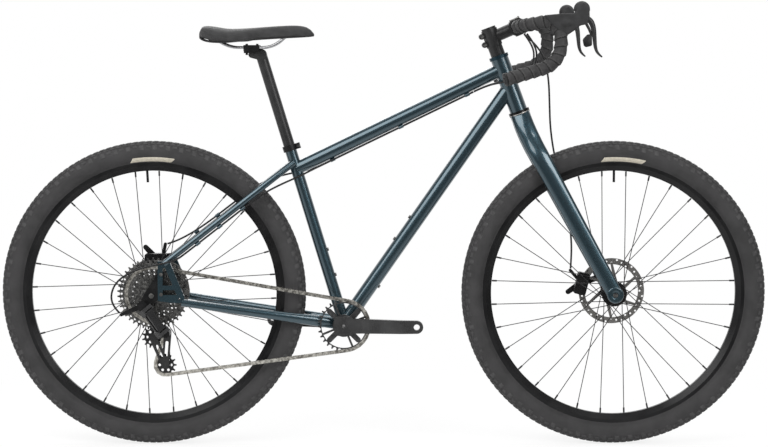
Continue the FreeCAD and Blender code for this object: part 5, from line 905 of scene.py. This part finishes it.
def lathe(profile, count, spot):
    """Points and faces of a turned piece: spot gives the place of a (radius, rise) at an angle."""
    """Points and faces of a turned piece: spot gives the place of a (radius, rise) at an angle."""
    verts = [spot(radius, rise, FULL_TURN * k / count)
             for k in range(count) for radius, rise in profile]
    return verts, grid_faces(count, len(profile), close_rows=True)


def about_axle(radius, offset, turn):
    """A place about the front axle, at an offset to the left."""
    return FRONT_AXLE + Vector((radius * math.cos(turn), offset, radius * math.sin(turn)))


def swell(value):
    """Squares an oval's section slightly."""
    return math.copysign(abs(value) ** LEG_POWER, value)


def fork_leg(side, word):
    start = HEAD_LOW - STEER_AXIS * BLADE_TOP
    route = [HEAD_LOW + STEER_AXIS * rise + Vector((0, side * out, 0)) for rise, out in CROWN_ROUTE]
    for share, out in LEG_ROUTE:
        route.append(start.lerp(FRONT_AXLE, share) + Vector((0, side * out, 0)))
    spots, total = along(spline_points(route), LEG_STEP)
    verts = []
    for i, (spot, distance) in enumerate(spots):
        heading = heading_at(spots, i)
        ahead = (STEER_FRONT - heading * STEER_FRONT.dot(heading)).normalized()
        across = heading.cross(ahead)
        deep, wide = stepped(LEG_HALVES, distance / total)
        for j in range(LEG_COUNT):
            angle = FULL_TURN * (j + 0.5) / LEG_COUNT
            verts.append(spot + ahead * (deep * swell(math.cos(angle)))
                         + across * (wide * swell(math.sin(angle))))
    faces = tube_faces(len(spots), LEG_COUNT)
    profile = [(radius, side * offset) for radius, offset in EYE_PROFILE + EYE_PROFILE[:1]]
    eye, rims = lathe(profile, EYE_COUNT, about_axle)
    faces += shifted(rims, len(verts))
    leg = mesh_object(f"fork_blade_{word}", verts + eye, faces, [PAINT])
    mark_sharp(leg, 50)
    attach(leg, "steering")
    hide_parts("fork_legs")


def fork_top():
    def spot(radius, rise, turn):
        return (HEAD_LOW + STEER_AXIS * rise + STEER_FRONT * (radius * math.cos(turn))
                + Vector((0, radius * math.sin(turn), 0)))

    verts, faces = lathe(STEERER_PROFILE, TURNED_COUNT, spot)
    top = mesh_object("fork_crown_top", verts, faces, [PAINT])
    mark_sharp(top, 40)
    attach(top, "steering")
    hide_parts("fork_crown")


fork_top()
fork_leg(1, "left")
fork_leg(-1, "right")


# Front hub: turned, with a broad flange on the right

HUB_PROFILE = [(0.00605, -0.0497), (0.0095, -0.0497), (0.0100, -0.0492), (0.0100, -0.0350),
               (0.0298, -0.0350), (0.0304, -0.0344), (0.0304, -0.0320), (0.0298, -0.0314),
               (0.0150, -0.0314), (0.0130, -0.0290), (0.0130, 0.0196), (0.0150, 0.0214),
               (0.0265, 0.0214), (0.0270, 0.0219), (0.0270, 0.0241), (0.0265, 0.0246),
               (0.0130, 0.0246), (0.0130, 0.0308), (0.0242, 0.0308), (0.0242, 0.0386),
               (0.0130, 0.0386), (0.0130, 0.0404), (0.0100, 0.0404), (0.0100, 0.0497),
               (0.00605, 0.0497), (0.00605, -0.0497)]


def front_hub():
    verts, faces = lathe(HUB_PROFILE, TURNED_COUNT, about_axle)
    hub = mesh_object("front_hub_shell", verts, faces, [BLACK])
    mark_sharp(hub, 40)
    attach(hub, "front_wheel")
    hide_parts("front_hub")


front_hub()


# Chain: the solid's own links, split into the part on the frame, the loop on the jockey wheels and
# the front and rear runs.

LOOP_TOP, LOOP_FRONT = 0.2975, -0.525
RING_END = Vector((-0.106, -0.0485, 0.2302))
RUN_SEAM = Vector((-0.409, -0.0385, 0.1877))


def chain_part(point):
    """The piece that a link belongs to, by its place."""
    if point.z >= LOOP_TOP or point.x >= RING_END.x:
        return "chain_drive"
    if point.x < LOOP_FRONT:
        return "chain_loop"
    return "chain_rear_run" if point.x < RUN_SEAM.x else "chain_front_run"


def chain_piece(name):
    work = bmesh.new()
    work.from_mesh(NODES["chain"].data)
    others = [face for face in work.faces if chain_part(face.calc_center_median()) != name]
    bmesh.ops.delete(work, geom=others, context="FACES")
    obj = from_work(name, work)
    obj.data.materials.append(CHAIN)
    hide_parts("chain")
    return obj


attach(chain_piece("chain_drive"), "frame")
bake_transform(chain_piece("chain_loop"))
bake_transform(chain_piece("chain_rear_run"))
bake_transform(chain_piece("chain_front_run"))


# Cable housings on the routes of the solids

HOUSING_RADIUS, LOOP_STEP, LOOP_COUNT = 0.0023, 0.003, 14
SHIFT_ROUTE = [(0.21589, -0.005, 0.85391), (-0.14783, -0.005, 0.67807), (-0.168, -0.014, 0.669),
               (-0.202, -0.027, 0.652), (-0.240, -0.037, 0.636), (-0.275, -0.043, 0.619),
               (-0.30426, -0.04771, 0.6014), (-0.47912, -0.07239, 0.46543), (-0.494, -0.086, 0.456),
               (-0.525, -0.094, 0.447), (-0.566, -0.097, 0.440), (-0.608, -0.096, 0.425),
               (-0.639, -0.093, 0.402), (-0.652, -0.090, 0.371), (-0.646, -0.087, 0.343),
               (-0.63064, -0.08643, 0.32764)]
BRAKE_ROUTE = [(0.21589, 0.005, 0.85391), (-0.14783, 0.005, 0.67807), (-0.168, 0.016, 0.669),
               (-0.203, 0.036, 0.659), (-0.240, 0.054, 0.652), (-0.280, 0.061, 0.639),
               (-0.31863, 0.04974, 0.62026), (-0.48358, 0.07301, 0.492),
               (-0.53034, 0.06649, 0.48114)]
FRONT_ROUTE = [(0.341, 0.060, 0.993), (0.371, 0.061, 0.968), (0.393, 0.061, 0.930),
               (0.402, 0.061, 0.880), (0.404, 0.061, 0.825), (0.406, 0.062, 0.768),
               (0.414, 0.065, 0.712), (0.427, 0.068, 0.656), (0.441, 0.070, 0.602),
               (0.453, 0.070, 0.548), (0.459, 0.066, 0.500), (0.460, 0.057, 0.460),
               (0.45666, 0.04701, 0.42211)]
LOOP_ROUTE = [(0.341, 0.053, 0.993), (0.362, 0.050, 0.966), (0.366, 0.047, 0.931),
              (0.350, 0.043, 0.902), (0.318, 0.038, 0.882), (0.282, 0.027, 0.877),
              (0.24579, 0.005, 0.86836), (0.21589, 0.005, 0.85391)]


def line_length(line):
    return sum((b - a).length for a, b in zip(line, line[1:]))


def housing(name, route, body, node):
    length = line_length(spline_points(route))
    obj = spline(name, route, HOUSING_RADIUS)
    obj.data.materials.append(HOUSING)
    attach(obj, body)
    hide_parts(node)


def steering_loop(name, side):
    """A housing between the bar and the frame."""
    route = [(x, y * side, z) for x, y, z in LOOP_ROUTE]
    line = spline_points(route)
    length = line_length(line)
    spots, _ = along(line, LOOP_STEP)
    verts = rings(spots, LOOP_COUNT, lambda distance, angle: HOUSING_RADIUS)
    obj = mesh_object(name, verts, tube_faces(len(spots), LOOP_COUNT), [HOUSING])
    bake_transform(obj)
    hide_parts("steering_cables")
    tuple(route[0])
    [tuple(spot) for spot, _ in spots]


housing("shift_housing", SHIFT_ROUTE, "frame", "frame_cables")
housing("rear_brake_housing", BRAKE_ROUTE, "frame", "frame_cables")
housing("front_brake_line", FRONT_ROUTE, "steering", "front_brake_housing")
steering_loop("left_bar_loop", 1)
steering_loop("right_bar_loop", -1)


# Stage, light and camera

WHITE = (1, 1, 1, 1)
FLOOR_COLOUR = (0.9, 0.9, 0.9, 1)
FLOOR_HALF, FLOOR_DROP = 14, 0.0004
AMBIENT, ROOM = 0.44, 0.22


def pale_floor():
    """White where it is seen, keeping the soft shadow close to the bike.

    In gloss it dims towards the room on the camera's side.
    """
    mat, nodes, links = blank("floor_pale")
    shader = nodes["Principled BSDF"]
    set_sockets(shader, Base_Color=FLOOR_COLOUR, Roughness=0.9, Specular_IOR_Level=0.1)
    path = nodes.new("ShaderNodeLightPath").outputs
    back = vector(nodes, links, "DOT_PRODUCT", place(nodes, links), (-0.75, 1.0, 0.0))
    dimming = spread(nodes, links, back, -0.85, 0.0, -2.2, -0.4)
    glow = nodes.new("ShaderNodeEmission")
    links.new(calc(nodes, links, "MULTIPLY_ADD", path["Is Glossy Ray"], dimming, 1.0),
              glow.inputs["Strength"])
    seen = path["Is Camera Ray"]
    for ray in ("Is Glossy Ray", "Is Transmission Ray"):
        seen = calc(nodes, links, "MAXIMUM", seen, path[ray])
    away = vector(nodes, links, "LENGTH", place(nodes, links, (1.0, 1.6, 0.0)))
    white = spread(nodes, links, away, 0.8, 1.0, 0.9, 1.9)
    mix = nodes.new("ShaderNodeMixShader")
    links.new(calc(nodes, links, "MULTIPLY", seen, white), mix.inputs["Fac"])
    links.new(shader.outputs["BSDF"], mix.inputs[1])
    links.new(glow.outputs["Emission"], mix.inputs[2])
    links.new(mix.outputs["Shader"], nodes["Material Output"].inputs["Surface"])
    return mat


def studio_world():
    """White where it is seen; gloss shows it behind the bike, and a dimmer room in front."""
    world = bpy.data.worlds.new("studio")
    bpy.context.scene.world = world
    world.use_nodes = True
    nodes, links = world.node_tree.nodes, world.node_tree.links
    path = nodes.new("ShaderNodeLightPath").outputs
    split = nodes.new("ShaderNodeSeparateXYZ")
    links.new(nodes.new("ShaderNodeTexCoord").outputs["Generated"], split.inputs["Vector"])
    room = spread(nodes, links, split.outputs["Y"], ROOM - AMBIENT, 1.0 - AMBIENT, -0.1, 0.8)
    gloss = calc(nodes, links, "MULTIPLY_ADD", path["Is Glossy Ray"], room, AMBIENT)
    seen = calc(nodes, links, "MAXIMUM", path["Is Camera Ray"], path["Is Transmission Ray"])
    level = calc(nodes, links, "MULTIPLY_ADD", seen, 1.0 - AMBIENT, gloss)
    set_sockets(nodes["Background"], Color=WHITE)
    links.new(level, nodes["Background"].inputs["Strength"])


def facing(obj, spot, aim):
    """Puts a lamp or camera at a spot and turns it to its aim."""
    obj.location = spot
    obj.rotation_euler = (Vector(aim) - Vector(spot)).to_track_quat("-Z", "Y").to_euler()


def softbox(name, spot, aim, wide, tall, power):
    lamp = bpy.data.lights.new(name, "AREA")
    lamp.shape = "RECTANGLE"
    lamp.size, lamp.size_y = wide, tall
    lamp.energy = power
    facing(put_in_scene(name, lamp), spot, aim)


def camera(spot, aim, lens):
    view = bpy.data.cameras.new("camera")
    view.sensor_width = 36.0
    view.lens = lens
    eye = put_in_scene("camera", view)
    facing(eye, spot, aim)
    bpy.context.scene.camera = eye


corners = [(x * FLOOR_HALF, y * FLOOR_HALF, 0) for x, y in ((-1, -1), (1, -1), (1, 1), (-1, 1))]
floor = mesh_object("floor", corners, [(0, 1, 2, 3)], [pale_floor()])
floor.location.z = -FLOOR_DROP
studio_world()
softbox("key", (-2.0, -2.6, 3.0), (0, 0, 0.5), wide=3.8, tall=2.8, power=125)
softbox("right", (2.6, -3.3, 2.3), (0.2, 0, 0.5), wide=2.7, tall=1.6, power=78)
softbox("over", (0.4, 0.4, 3.6), (0, 0, 0.5), wide=4.2, tall=1.4, power=45)
softbox("behind", (0.0, 3.4, 2.6), (0, 0, 0.6), wide=4.0, tall=1.6, power=50)
camera((0.0006, -5.4, 0.9556), (0.0006, 0, 0.5357), lens=104.9)
bpy.context.scene.view_settings.view_transform = "Standard"
